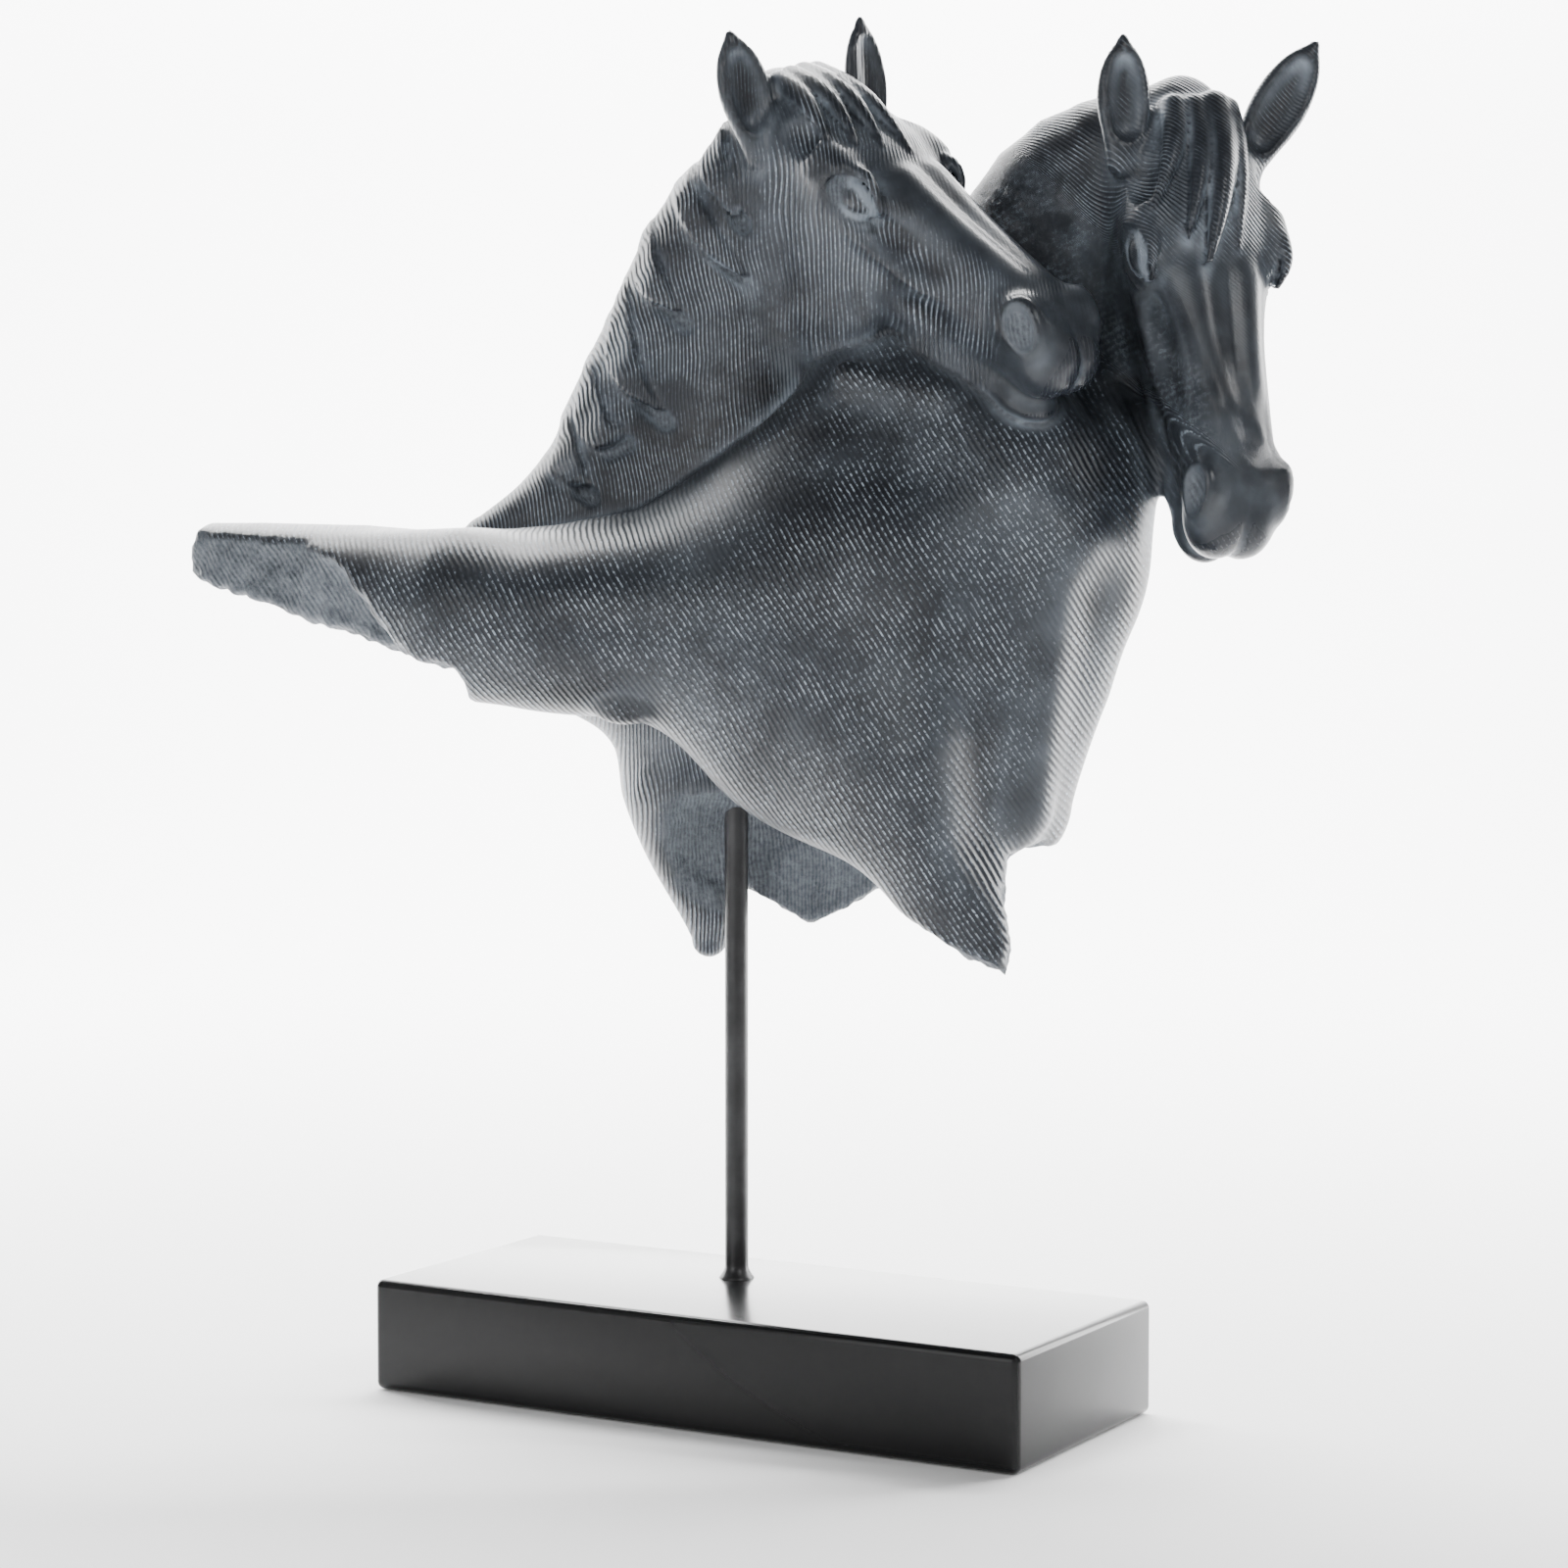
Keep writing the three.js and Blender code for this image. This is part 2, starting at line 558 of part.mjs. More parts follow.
// Quadric of the planes around a vertex: how far a moved vertex strays from them
function planeQuadric(a, b, c) {
  const n = cross(sub(b, a), sub(c, a));
  const area = length(n) || 1e-9;
  const [x, y, z] = scaled(n, 1 / area);
  const w = -dot([x, y, z], a);
  return [x * x, x * y, x * z, x * w, y * y, y * z, y * w, z * z, z * w, w * w].map((q) => q * area);
}

function strayed(q, [x, y, z]) {
  return q[0] * x * x + 2 * q[1] * x * y + 2 * q[2] * x * z + 2 * q[3] * x
    + q[4] * y * y + 2 * q[5] * y * z + 2 * q[6] * y + q[7] * z * z + 2 * q[8] * z + q[9];
}

// The place between two ends that strays least from the planes around both
function bestPlace(q, a, b) {
  const places = [0, 0.25, 0.5, 0.75, 1].map((t) => a.map((x, i) => x + (b[i] - x) * t));
  const costs = places.map((p) => strayed(q, p));
  const least = costs.indexOf(Math.min(...costs));
  return { place: places[least], cost: costs[least] + 1e-4 * dot(sub(a, b), sub(a, b)) };
}

function collapsePass(vertices, triangles, quadrics, target) {
  const around = vertices.map(() => []);
  triangles.forEach((t, n) => t.forEach((v) => around[v].push(n)));
  const beside = (v) => new Set(around[v].flatMap((n) => triangles[n]).filter((x) => x !== v));
  const edges = [];
  for (const t of triangles) {
    t.forEach((a, i) => {
      const b = t[(i + 1) % 3];
      if (a > b) return;
      const q = quadrics[a].map((x, j) => x + quadrics[b][j]);
      edges.push({ a, b, q, ...bestPlace(q, vertices[a], vertices[b]) });
    });
  }
  edges.sort((e, f) => e.cost - f.cost);
  const settled = new Uint8Array(vertices.length);
  const gone = new Set();
  for (const edge of edges.slice(0, Math.ceil(edges.length / 3))) {
    if (triangles.length - gone.size <= target) break;
    const { a, b, q, place } = edge;
    if (settled[a] || settled[b]) continue;
    const [besideA, besideB] = [beside(a), beside(b)];
    const shared = [...besideA].filter((v) => besideB.has(v));
    if (shared.length !== 2 || shared.some((v) => beside(v).size < 4)) continue;
    if (turnsOver(vertices, triangles, around, edge)) continue;
    vertices[a] = place;
    quadrics[a] = q;
    for (const n of around[b]) {
      if (triangles[n].includes(a)) gone.add(n);
      else triangles[n] = triangles[n].map((v) => (v === b ? a : v));
    }
    for (const v of [a, b, ...besideA, ...besideB]) settled[v] = 1;
  }
  return triangles.filter((_, n) => !gone.has(n));
}

// Whether moving both ends of an edge to one place would turn a triangle over or flatten it
const LEAST_FACING = 0.35;
const LEAST_AREA_SQUARED = 0.05;

function turnsOver(vertices, triangles, around, { a, b, place }) {
  return [...around[a], ...around[b]].some((n) => {
    const t = triangles[n];
    if (t.includes(a) && t.includes(b)) return false;
    const was = t.map((v) => vertices[v]);
    const now = t.map((v) => (v === a || v === b ? place : vertices[v]));
    const before = cross(sub(was[1], was[0]), sub(was[2], was[0]));
    const after = cross(sub(now[1], now[0]), sub(now[2], now[0]));
    const facing = dot(before, after) / (length(before) * length(after) + 1e-12);
    return facing < LEAST_FACING || dot(after, after) < LEAST_AREA_SQUARED;
  });
}

function simplified({ vertices, triangles }, target) {
  const quadrics = vertices.map(() => new Array(10).fill(0));
  for (const t of triangles) {
    const q = planeQuadric(...t.map((v) => vertices[v]));
    for (const v of t) quadrics[v] = quadrics[v].map((x, i) => x + q[i]);
  }
  let kept = triangles;
  while (kept.length > target) {
    const fewer = collapsePass(vertices, kept, quadrics, target);
    if (fewer.length === kept.length) break;
    kept = fewer;
  }
  return { vertices, triangles: kept };
}

// A leaf-shaped ear, hollowed on the side that it faces; its foot runs down into the head
const EAR_OUTLINE = profile([[-0.3, 0.55], [-0.1, 0.66], [0.1, 0.8], [0.3, 0.96], [0.46, 1],
  [0.62, 0.95], [0.78, 0.78], [0.9, 0.52], [1, 0.2]]);
const EAR_FOOT = -0.25;
const EARS = [
  { base: [0, -9, 424], tip: [-9, -15, 457], facing: [0.3, -0.94, 0.1], width: 18 },
  { base: [38, 19, 430], tip: [34.5, 15, 466], facing: [0.66, -0.74, 0.1], width: 17 },
  { base: [119, -31.5, 418.5], tip: [118.5, -33.5, 453], facing: [0.25, -0.95, 0], width: 18 },
  { base: [162, -16, 417], tip: [183.5, -16, 453.5], facing: [0.1, -0.98, 0.1], width: 18 },
];
const EAR_DEPTH = 8;

function earMesh({ base, tip, facing, width }) {
  const up = unit(sub(tip, base));
  const side = unit(cross(up, facing));
  const face = cross(side, up);
  const rise = length(sub(tip, base));
  const place = (t, x, y) => base.map((c, i) => c + up[i] * rise * t + side[i] * x + face[i] * y);
  const vertices = [];
  const ringSize = 2 * EAR_SIDES;
  for (let ring = 0; ring < EAR_RINGS; ring += 1) {
    const t = EAR_FOOT + (0.93 - EAR_FOOT) * (ring / (EAR_RINGS - 1));
    const half = (EAR_OUTLINE(t) * width) / 2;
    const depth = EAR_OUTLINE(t) * EAR_DEPTH * (0.8 - 0.3 * t);
    const hollow = t < 0.1 ? -0.7 : 0.35;
    for (let n = 0; n < ringSize; n += 1) {
      const angle = (Math.PI * n) / EAR_SIDES;
      const back = n <= EAR_SIDES ? 1 : hollow;
      const sweep = Math.abs(Math.sin(angle)) * back;
      vertices.push(place(t, half * Math.cos(angle), -depth * sweep));
    }
  }
  const foot = vertices.push(place(EAR_FOOT, 0, 0)) - 1;
  const point = vertices.push(place(1, 0, 0)) - 1;
  const triangles = [];
  const last = (EAR_RINGS - 1) * ringSize;
  for (let n = 0; n < ringSize; n += 1) {
    const next = (n + 1) % ringSize;
    triangles.push([foot, next, n], [point, last + n, last + next]);
    for (let r = 0; r < last; r += ringSize) {
      const [a, b, c, d] = [r + n, r + next, r + ringSize + next, r + ringSize + n];
      triangles.push([a, b, d], [b, c, d]);
    }
  }
  return { vertices, triangles };
}

// Solids that can be joined and cut
const wasm = await Module();
wasm.setup();

function solidOf({ vertices, triangles }) {
  const mesh = new wasm.Mesh({
    numProp: 3,
    vertProperties: new Float32Array(vertices.flat()),
    triVerts: new Uint32Array(triangles.flat()),
  });
  mesh.merge();
  return new wasm.Manifold(mesh);
}

function solidOfGeometry(geometry) {
  const bare = geometry.clone();
  bare.deleteAttribute('normal');
  bare.deleteAttribute('uv');
  const merged = mergeVertices(bare, 1e-4);
  return new wasm.Manifold(new wasm.Mesh({
    numProp: 3,
    vertProperties: new Float32Array(merged.attributes.position.array),
    triVerts: new Uint32Array(merged.index.array),
  }));
}

function geometryOfSolid(solid) {
  const mesh = solid.getMesh();
  const geometry = new THREE.BufferGeometry();
  const position = new Float32Array(mesh.numVert * 3);
  for (let n = 0; n < mesh.numVert; n += 1) {
    for (let i = 0; i < 3; i += 1) position[3 * n + i] = mesh.vertProperties[n * mesh.numProp + i];
  }
  geometry.setAttribute('position', new THREE.BufferAttribute(position, 3));
  geometry.setIndex(new THREE.BufferAttribute(new Uint32Array(mesh.triVerts), 1));
  geometry.computeVertexNormals();
  return geometry;
}

// An upright cylinder between two heights
function uprightCylinder(radius, bottom, top) {
  const geometry = new THREE.CylinderGeometry(radius, radius, top - bottom, ROD_SIDES);
  geometry.rotateX(Math.PI / 2);
  geometry.translate(0, 0, (bottom + top) / 2);
  return geometry;
}

function figureGeometry() {
  const surface = surfaceMesh(figureField);
  const body = simplified(surface, TRIANGLE_TARGET);
  const scale = FIGURE_HEIGHT / DRAWN_HEIGHT;
  const placed = (mesh) => ({
    vertices: mesh.vertices.map((v) => scaled(sub(v, DRAWN_MOUTH), scale)),
    triangles: mesh.triangles,
  });
  let solid = solidOf(placed({ vertices: body.vertices, triangles: body.triangles }));
  for (const ear of EARS) solid = solid.add(solidOf(placed(earMesh(ear))));
  const socket = uprightCylinder(ROD_RADIUS + FIT_GAP, -SOCKET_DEPTH, SOCKET_DEPTH + FIT_GAP);
  return geometryOfSolid(solid.subtract(solidOfGeometry(socket)));
}

function blockGeometry() {
  const block = new RoundedBoxGeometry(BLOCK_LENGTH, BLOCK_DEPTH, BLOCK_HEIGHT, 3, BLOCK_EDGE_RADIUS);
  block.translate(0, 0, BLOCK_HEIGHT / 2);
  const seatFloor = BLOCK_HEIGHT - ROD_SEAT_DEPTH - FIT_GAP;
  const seat = uprightCylinder(ROD_RADIUS + FIT_GAP, seatFloor, BLOCK_HEIGHT + 1);
  seat.translate(ROD_OFFSET_X, ROD_OFFSET_Y, 0);
  return geometryOfSolid(solidOfGeometry(block).subtract(solidOfGeometry(seat)));
}

// The rod stands in the block, with a small collar at its foot, and ends inside the figure
function rodGeometry() {
  const foot = BLOCK_HEIGHT + FIT_GAP;
  const outline = [
    [0, BLOCK_HEIGHT - ROD_SEAT_DEPTH],
    [ROD_RADIUS, BLOCK_HEIGHT - ROD_SEAT_DEPTH],
    [ROD_RADIUS, foot],
    [COLLAR_RADIUS, foot],
    [ROD_RADIUS, foot + COLLAR_HEIGHT],
    [ROD_RADIUS, BLOCK_HEIGHT + ROD_SPAN + SOCKET_DEPTH],
    [0, BLOCK_HEIGHT + ROD_SPAN + SOCKET_DEPTH],
  ].map(([r, z]) => new THREE.Vector2(r, z));
  const geometry = new THREE.LatheGeometry(outline, ROD_SIDES);
  geometry.rotateX(Math.PI / 2);
  return geometryOfSolid(solidOfGeometry(geometry));
}

function piece(name, geometry, color, roughness, metalness) {
  const mesh = new THREE.Mesh(geometry, new THREE.MeshStandardMaterial({ color, roughness, metalness }));
  mesh.name = name;
  return mesh;
}

const figure = piece('horse_heads', figureGeometry(), COLOURS.resin, 0.5, 0);
figure.position.set(ROD_OFFSET_X, ROD_OFFSET_Y, BLOCK_HEIGHT + ROD_SPAN);
figure.rotation.z = THREE.MathUtils.degToRad(FIGURE_TURN);

const rod = piece('support_rod', rodGeometry(), COLOURS.rod, 0.4, 0.6);
rod.position.set(ROD_OFFSET_X, ROD_OFFSET_Y, 0);

const block = piece('base_block', blockGeometry(), COLOURS.block, 0.45, 0);

const sculpture = new THREE.Group();
sculpture.add(figure, rod, block);

export default sculpture;
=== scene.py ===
import math

import bpy
import numpy as np
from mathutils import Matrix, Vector


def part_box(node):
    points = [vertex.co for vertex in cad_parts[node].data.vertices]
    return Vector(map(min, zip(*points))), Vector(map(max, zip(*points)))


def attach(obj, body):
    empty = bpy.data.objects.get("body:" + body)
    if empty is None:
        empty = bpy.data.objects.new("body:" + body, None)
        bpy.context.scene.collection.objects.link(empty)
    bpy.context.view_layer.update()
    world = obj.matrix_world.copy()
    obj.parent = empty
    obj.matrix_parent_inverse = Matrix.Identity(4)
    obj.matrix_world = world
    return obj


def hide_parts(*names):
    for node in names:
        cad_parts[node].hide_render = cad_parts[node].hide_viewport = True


# Looks of the horse head sculpture. The figure is sculpted as signed distances in millimetres,
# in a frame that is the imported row's frame turned by FIGURE_TURN about Z: x runs to the right
# in the photograph, y away from it, z up. Everything in Blender is in metres.
MM = 0.001
FIGURE_TURN = math.radians(30)
F32 = np.float32

# Fineness of the figure's mesh
FINE_CELL = 1.42
TRIANGLES = 190000

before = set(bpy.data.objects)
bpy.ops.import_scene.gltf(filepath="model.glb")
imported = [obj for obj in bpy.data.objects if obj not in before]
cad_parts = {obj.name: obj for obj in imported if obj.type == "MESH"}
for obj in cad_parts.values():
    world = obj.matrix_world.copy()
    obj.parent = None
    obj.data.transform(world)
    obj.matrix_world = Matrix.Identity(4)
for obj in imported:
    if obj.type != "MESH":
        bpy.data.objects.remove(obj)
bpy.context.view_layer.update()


# Vectors and soft joins of signed distances
def unit(a):
    a = np.asarray(a, float)
    return a / np.linalg.norm(a)


def column(a):
    return np.array(a, F32)[:, None]


def smin(a, b, k):
    h = np.maximum(k - np.abs(a - b), 0) / k
    return np.minimum(a, b) - h * h * (k / 4)


def smax(a, b, k):
    return -smin(-a, -b, k)


def blended(k, shapes):
    out = shapes[0]
    for shape in shapes[1:]:
        out = smin(out, shape, k)
    return out


def length(q):
    return np.sqrt((q * q).sum(0))


def axes_of(forward, upward):
    """Rows of a right-handed frame from a forward direction and a rough upward one."""
    u = unit(forward)
    v = unit(np.cross(upward, u))
    return np.array([u, v, np.cross(u, v)])


# Shapes: p holds the points as columns
def ball(p, centre, radii, axes=None):
    q = p - column(centre)
    if axes is not None:
        q = np.asarray(axes, F32) @ q
    once = q / column(radii)
    twice = once / column(radii)
    near = length(once)
    return near * (near - 1) / (length(twice) + 1e-6)


def limb(p, a, b, radius_a, radius_b):
    run = column(b) - column(a)
    q = p - column(a)
    t = np.clip((q * run).sum(0) / float((run * run).sum()), 0, 1)
    return length(q - run * t) - (radius_a + (radius_b - radius_a) * t)


def curve(rows, count):
    """Points of a smooth curve through rows, radii included."""
    rows = np.array(rows, float)
    ends = np.vstack([2 * rows[0] - rows[1], rows, 2 * rows[-1] - rows[-2]])
    points = []
    for s in np.linspace(0, len(rows) - 1, count + 1):
        j = min(int(s), len(rows) - 2)
        t = s - j
        a, b, c, d = ends[j:j + 4]
        points.append(0.5 * (2 * b + (c - a) * t + (2 * a - 5 * b + 4 * c - d) * t * t
                             + (3 * b - a - 3 * c + d) * t ** 3))
    return np.array(points)


def strand(p, rows, count=6):
    """A round strand through rows of x, y, z, radius."""
    c = curve(rows, count)
    return np.minimum.reduce([limb(p, a[:3], b[:3], a[3], b[3]) for a, b in zip(c[:-1], c[1:])])


def trunk(p, rows, side, count=10):
    """An oval trunk through rows of x, y, z, breadth, thickness; side is the way of its thickness."""
    c = curve(rows, count)
    return np.minimum.reduce([trunk_piece(p, a, b, side) for a, b in zip(c[:-1], c[1:])])


def trunk_piece(p, a, b, side):
    run = b[:3] - a[:3]
    reach = np.linalg.norm(run)
    along = run / reach
    thick = unit(np.asarray(side, float) - along * np.dot(side, along))
    broad = np.cross(along, thick)
    q = p - column(a[:3])
    t = np.clip((np.array(along, F32) @ q) / reach, 0, 1)
    q = q - column(run) * t
    breadth = a[3] + (b[3] - a[3]) * t
    thickness = a[4] + (b[4] - a[4]) * t
    radii = np.stack([breadth, thickness, np.minimum(breadth, thickness)])
    once = (np.array([broad, thick, along], F32) @ q) / radii
    near = length(once)
    return near * (near - 1) / (length(once / radii) + 1e-6)


def beyond(p, point, normal):
    """The flat side of a cut: positive on the side that its normal points to."""
    return np.array(unit(normal), F32) @ (p - column(point))


def profile(x, rows):
    """A smooth line of values through rows of position, value, read at x."""
    xs, ys = np.array(rows, float).T
    last = len(xs) - 1
    before = np.maximum(np.arange(last + 1) - 1, 0)
    after = np.minimum(np.arange(last + 1) + 1, last)
    slope = (ys[after] - ys[before]) / (xs[after] - xs[before])
    x = np.clip(x, xs[0], xs[-1])
    i = np.clip(np.searchsorted(xs, x, side="right") - 1, 0, last - 1)
    h = xs[i + 1] - xs[i]
    t = (x - xs[i]) / h
    rise = (2 * t ** 3 - 3 * t ** 2 + 1) * ys[i] + (t ** 3 - 2 * t ** 2 + t) * h * slope[i]
    fall = (3 * t ** 2 - 2 * t ** 3) * ys[i + 1] + (t ** 3 - t ** 2) * h * slope[i + 1]
    return (rise + fall).astype(F32)


def waves(p, scale, seed):
    """Smooth unevenness: a few crossing waves, about -1 to 1."""
    out = 0
    for i in range(6):
        n = i + 6 * seed
        z = ((n * 0.618034) % 1) * 2 - 1
        r = math.sqrt(1 - z * z)
        k = 2 * math.pi / scale * (0.7 + 0.12 * i)
        way = np.array([r * math.cos(2.4 * n) * k, r * math.sin(2.4 * n) * k, z * k], F32)
        out = out + np.sin(way @ p + F32(1.7 * n))
    return out / 3.2


# The horse's head in its own length: s from poll to lips, v to its left, w up from the face
HEAD_LENGTH = 150
TOP_LINE = [(-0.06, -0.06), (0, -0.01), (0.08, 0.03), (0.18, 0.045), (0.3, 0.04), (0.42, 0.018),
            (0.56, -0.004), (0.7, -0.012), (0.8, -0.016), (0.88, -0.03), (0.94, -0.055), (1, -0.1)]
JAW_LINE = [(-0.06, -0.24), (0.05, -0.3), (0.2, -0.35), (0.35, -0.34), (0.5, -0.33),
            (0.62, -0.3), (0.74, -0.265), (0.82, -0.245), (0.9, -0.235), (1, -0.21)]
HALF_WIDTH = [(-0.06, 0.11), (0.06, 0.14), (0.18, 0.16), (0.3, 0.165), (0.4, 0.145), (0.52, 0.125),
              (0.64, 0.109), (0.76, 0.097), (0.86, 0.094), (0.94, 0.088), (1, 0.07)]


def skull(q):
    s, v, w = q
    top, jaw = profile(s, TOP_LINE), profile(s, JAW_LINE)
    middle, half = (top + jaw) / 2, (top - jaw) / 2
    rise = (w - middle) / half
    wide = profile(s, HALF_WIDTH) * (1 - 0.2 * np.clip(-rise, -0.5, 1.1))
    fullness = 2.5
    k = (np.abs(v / wide) ** fullness + np.abs(rise) ** fullness) ** (1 / fullness)
    return smax((k - 1) * np.minimum(wide, half) * 0.95, np.abs(s - 0.455) - 0.505, 0.1)


def head_forms(q, a):
    """The bare head; a is q folded onto the horse's left half."""
    d = skull(q)
    # jowl, jaw and chin bar
    d = smin(d, ball(a, (0.32, 0.088, -0.3), (0.195, 0.068, 0.195)), 0.03)
    d = smin(d, limb(a, (0.42, 0.06, -0.45), (0.7, 0.03, -0.315), 0.055, 0.04), 0.05)
    d = smin(d, limb(a, (0.62, 0.02, -0.285), (0.88, 0.018, -0.265), 0.042, 0.04), 0.04)
    # brow, cheek crest and nose ridge
    d = smin(d, ball(a, (0.3, 0.142, -0.045), (0.078, 0.045, 0.06)), 0.035)
    d = smin(d, limb(a, (0.23, 0.138, -0.01), (0.33, 0.158, -0.018), 0.024, 0.018), 0.03)
    d = smin(d, limb(a, (0.4, 0.13, -0.125), (0.62, 0.102, -0.15), 0.022, 0.014), 0.022)
    d = smin(d, limb(a, (0.42, 0.05, -0.016), (0.78, 0.034, -0.052), 0.018, 0.016), 0.05)
    # hollows of the temple, the nose and the cheek
    d = smax(d, -ball(a, (0.19, 0.158, -0.01), (0.055, 0.034, 0.034)), 0.025)
    d = smax(d, -ball(a, (0.57, 0.13, -0.082), (0.14, 0.034, 0.036)), 0.035)
    d = smax(d, -ball(a, (0.68, 0.122, -0.215), (0.12, 0.032, 0.045)), 0.035)
    d = smax(d, -limb(a, (0.43, 0.17, -0.2), (0.53, 0.136, -0.3), 0.018, 0.012), 0.04)
    # nostril wing, upper lip and chin
    d = smin(d, ball(a, (0.865, 0.074, -0.085), (0.075, 0.042, 0.062)), 0.03)
    d = smin(d, ball(a, (0.93, 0.03, -0.14), (0.074, 0.064, 0.08)), 0.035)
    d = smin(d, ball(a, (0.9, 0, -0.262), (0.068, 0.062, 0.044)), 0.02)
    return smin(d, ball(a, (0.06, 0, -0.045), (0.15, 0.105, 0.07)), 0.02)


# Rows of the eye's folds, from its middle: along the head, outward, up, radius
EYE_SIZE = 1.1
EYE_SINK = 0.012
UPPER_LID = [(0.05, -0.013, -0.012, 0.005), (0.03, 0.004, 0.018, 0.007), (0, 0.009, 0.03, 0.008),
             (-0.03, 0.006, 0.02, 0.007), (-0.05, 0, -0.002, 0.004)]
LOWER_LID = [(0.05, -0.013, -0.012, 0.004), (0.028, 0, -0.024, 0.006), (0, 0.005, -0.032, 0.006),
             (-0.028, 0.004, -0.024, 0.006), (-0.05, 0, -0.002, 0.004)]
LID_FOLD = [(0.06, -0.016, 0.004, 0.005), (0.034, -0.006, 0.036, 0.009), (0, -0.006, 0.05, 0.012),
            (-0.036, -0.006, 0.04, 0.01), (-0.066, -0.008, 0.008, 0.004)]
UNDER_FOLD = [(0.05, -0.012, -0.042, 0.004), (0.01, 0, -0.058, 0.006), (-0.034, -0.002, -0.05, 0.004)]


def beside_skull(along, up):
    """The place on the skull's side at this far along and up."""
    low, high = 0.04, 0.3
    for _ in range(18):
        out = (low + high) / 2
        spot = column((along, out, up))
        low, high = (out, high) if head_forms(spot, spot)[0] < 0 else (low, out)
    return along, low - EYE_SINK, up


def fold_at(middle, rows):
    """Rows of a fold moved to an eye's middle and brought to its size."""
    x, y, z = middle
    k = EYE_SIZE
    return [(x + s * k, y + v * k, z + w * k, r * k) for s, v, w, r in rows]


def eye(d, a, middle):
    x, y, z = middle
    k = EYE_SIZE
    d = smax(d, -ball(a, (x, y + 0.024 * k, z), (0.058 * k, 0.024 * k, 0.044 * k)), 0.014)
    d = smin(d, strand(a, fold_at(middle, LID_FOLD), 8), 0.014)
    d = smin(d, strand(a, fold_at(middle, UNDER_FOLD), 5), 0.014)
    d = smin(d, ball(a, (x, y - 0.004 * k, z), (0.041 * k, 0.024 * k, 0.03 * k)), 0.003)
    return smin(d, lids_of(a, middle), 0.003)


def lids_of(a, middle):
    return np.minimum(strand(a, fold_at(middle, UPPER_LID), 8), strand(a, fold_at(middle, LOWER_LID), 8))


NOSTRIL = (0.885, 0.096, -0.072)
NOSTRIL_LONG, NOSTRIL_SHORT = 0.056, 0.037
NOSTRIL_AXES = axes_of((-0.72, 0.05, 0.62), (0, 1, 0.1))


def nostril_dish(a):
    x, y, z = NOSTRIL
    return ball(a, (x, y + 0.02, z), (NOSTRIL_LONG, NOSTRIL_SHORT, 0.022), NOSTRIL_AXES)


def nostril(d, a):
    x, y, z = NOSTRIL
    rim = (NOSTRIL_LONG * 1.16, NOSTRIL_SHORT * 1.18, 0.024)
    d = smin(d, ball(a, (x, y - 0.004, z), rim, NOSTRIL_AXES), 0.02)
    return smax(d, -nostril_dish(a), 0.006)


MOUTH = [(0.8, 0.094, -0.24, 0.005), (0.87, 0.084, -0.232, 0.006), (0.95, 0.068, -0.226, 0.007),
         (1, 0.045, -0.222, 0.006), (1.03, 0, -0.222, 0.005)]
LIP_FOLD = [(0.77, 0.094, -0.215, 0.004), (0.8, 0.1, -0.245, 0.006), (0.84, 0.085, -0.262, 0.004)]


def mouth(d, a):
    d = smax(d, -strand(a, MOUTH, 8), 0.008)
    return smax(d, -strand(a, LIP_FOLD, 4), 0.01)


HEAD_MIDDLE = (0.45, 0, -0.15)
HEAD_REACH = 0.66


class Head:
    """Where a head sits: its poll, the way it points, the way that its face looks, its forelock."""

    def __init__(self, poll, forward, upward, eye_at, forelock):
        self.eye_at = beside_skull(*eye_at)
        self.poll = column(poll)
        self.axes = np.array(axes_of(forward, upward), F32)
        self.forelock = forelock

    def local(self, p):
        return (self.axes @ (p - self.poll)) / F32(HEAD_LENGTH)

    def near(self, p, margin):
        q = self.local(p)
        outside = length(q - column(HEAD_MIDDLE)) - HEAD_REACH
        return q, outside, outside < margin

    def shape(self, p):
        q, outside, close = self.near(p, 0.1)
        q = q[:, close]
        a = np.stack([q[0], np.abs(q[1]), q[2]])
        d = head_forms(q, a)
        for rows in self.forelock:
            d = smin(d, strand(q, rows, 8), 0.01)
        out = outside.copy()
        out[close] = d
        return out * F32(HEAD_LENGTH)

    def rims(self, p):
        """How near points are to the edges of the eyelids and nostrils, 1 on them."""
        q, _, close = self.near(p, 0)
        q = q[:, close]
        a = np.stack([q[0], np.abs(q[1]), q[2]])
        out = np.zeros(p.shape[1])
        lids = np.clip(1.4 - np.abs(lids_of(a, self.eye_at)) / 0.005, 0, 1)
        dish = np.clip(1.2 - np.abs(nostril_dish(a)) / 0.006, 0, 1)
        out[close] = np.maximum(lids, 0.4 * dish)
        return out

    def details(self, d, p):
        q, outside, close = self.near(p, 0)
        q = q[:, close]
        a = np.stack([q[0], np.abs(q[1]), q[2]])
        out = d.copy()
        out[close] = mouth(nostril(eye(d[close] / HEAD_LENGTH, a, self.eye_at), a), a) * HEAD_LENGTH
        return out


def forelock_strand(v0, v1, reach, rise, thick):
    """Rows of a strand that runs from the poll down the brow."""
    rows = []
    for n in range(5):
        t = n / 4
        height = rise * math.sin(math.pi * (0.12 + 0.66 * t))
        rows.append((0.02 + reach * t, v0 + (v1 - v0) * t ** 1.5, height,
                     max(thick * (1 - t ** 2), 0.004)))
    return rows


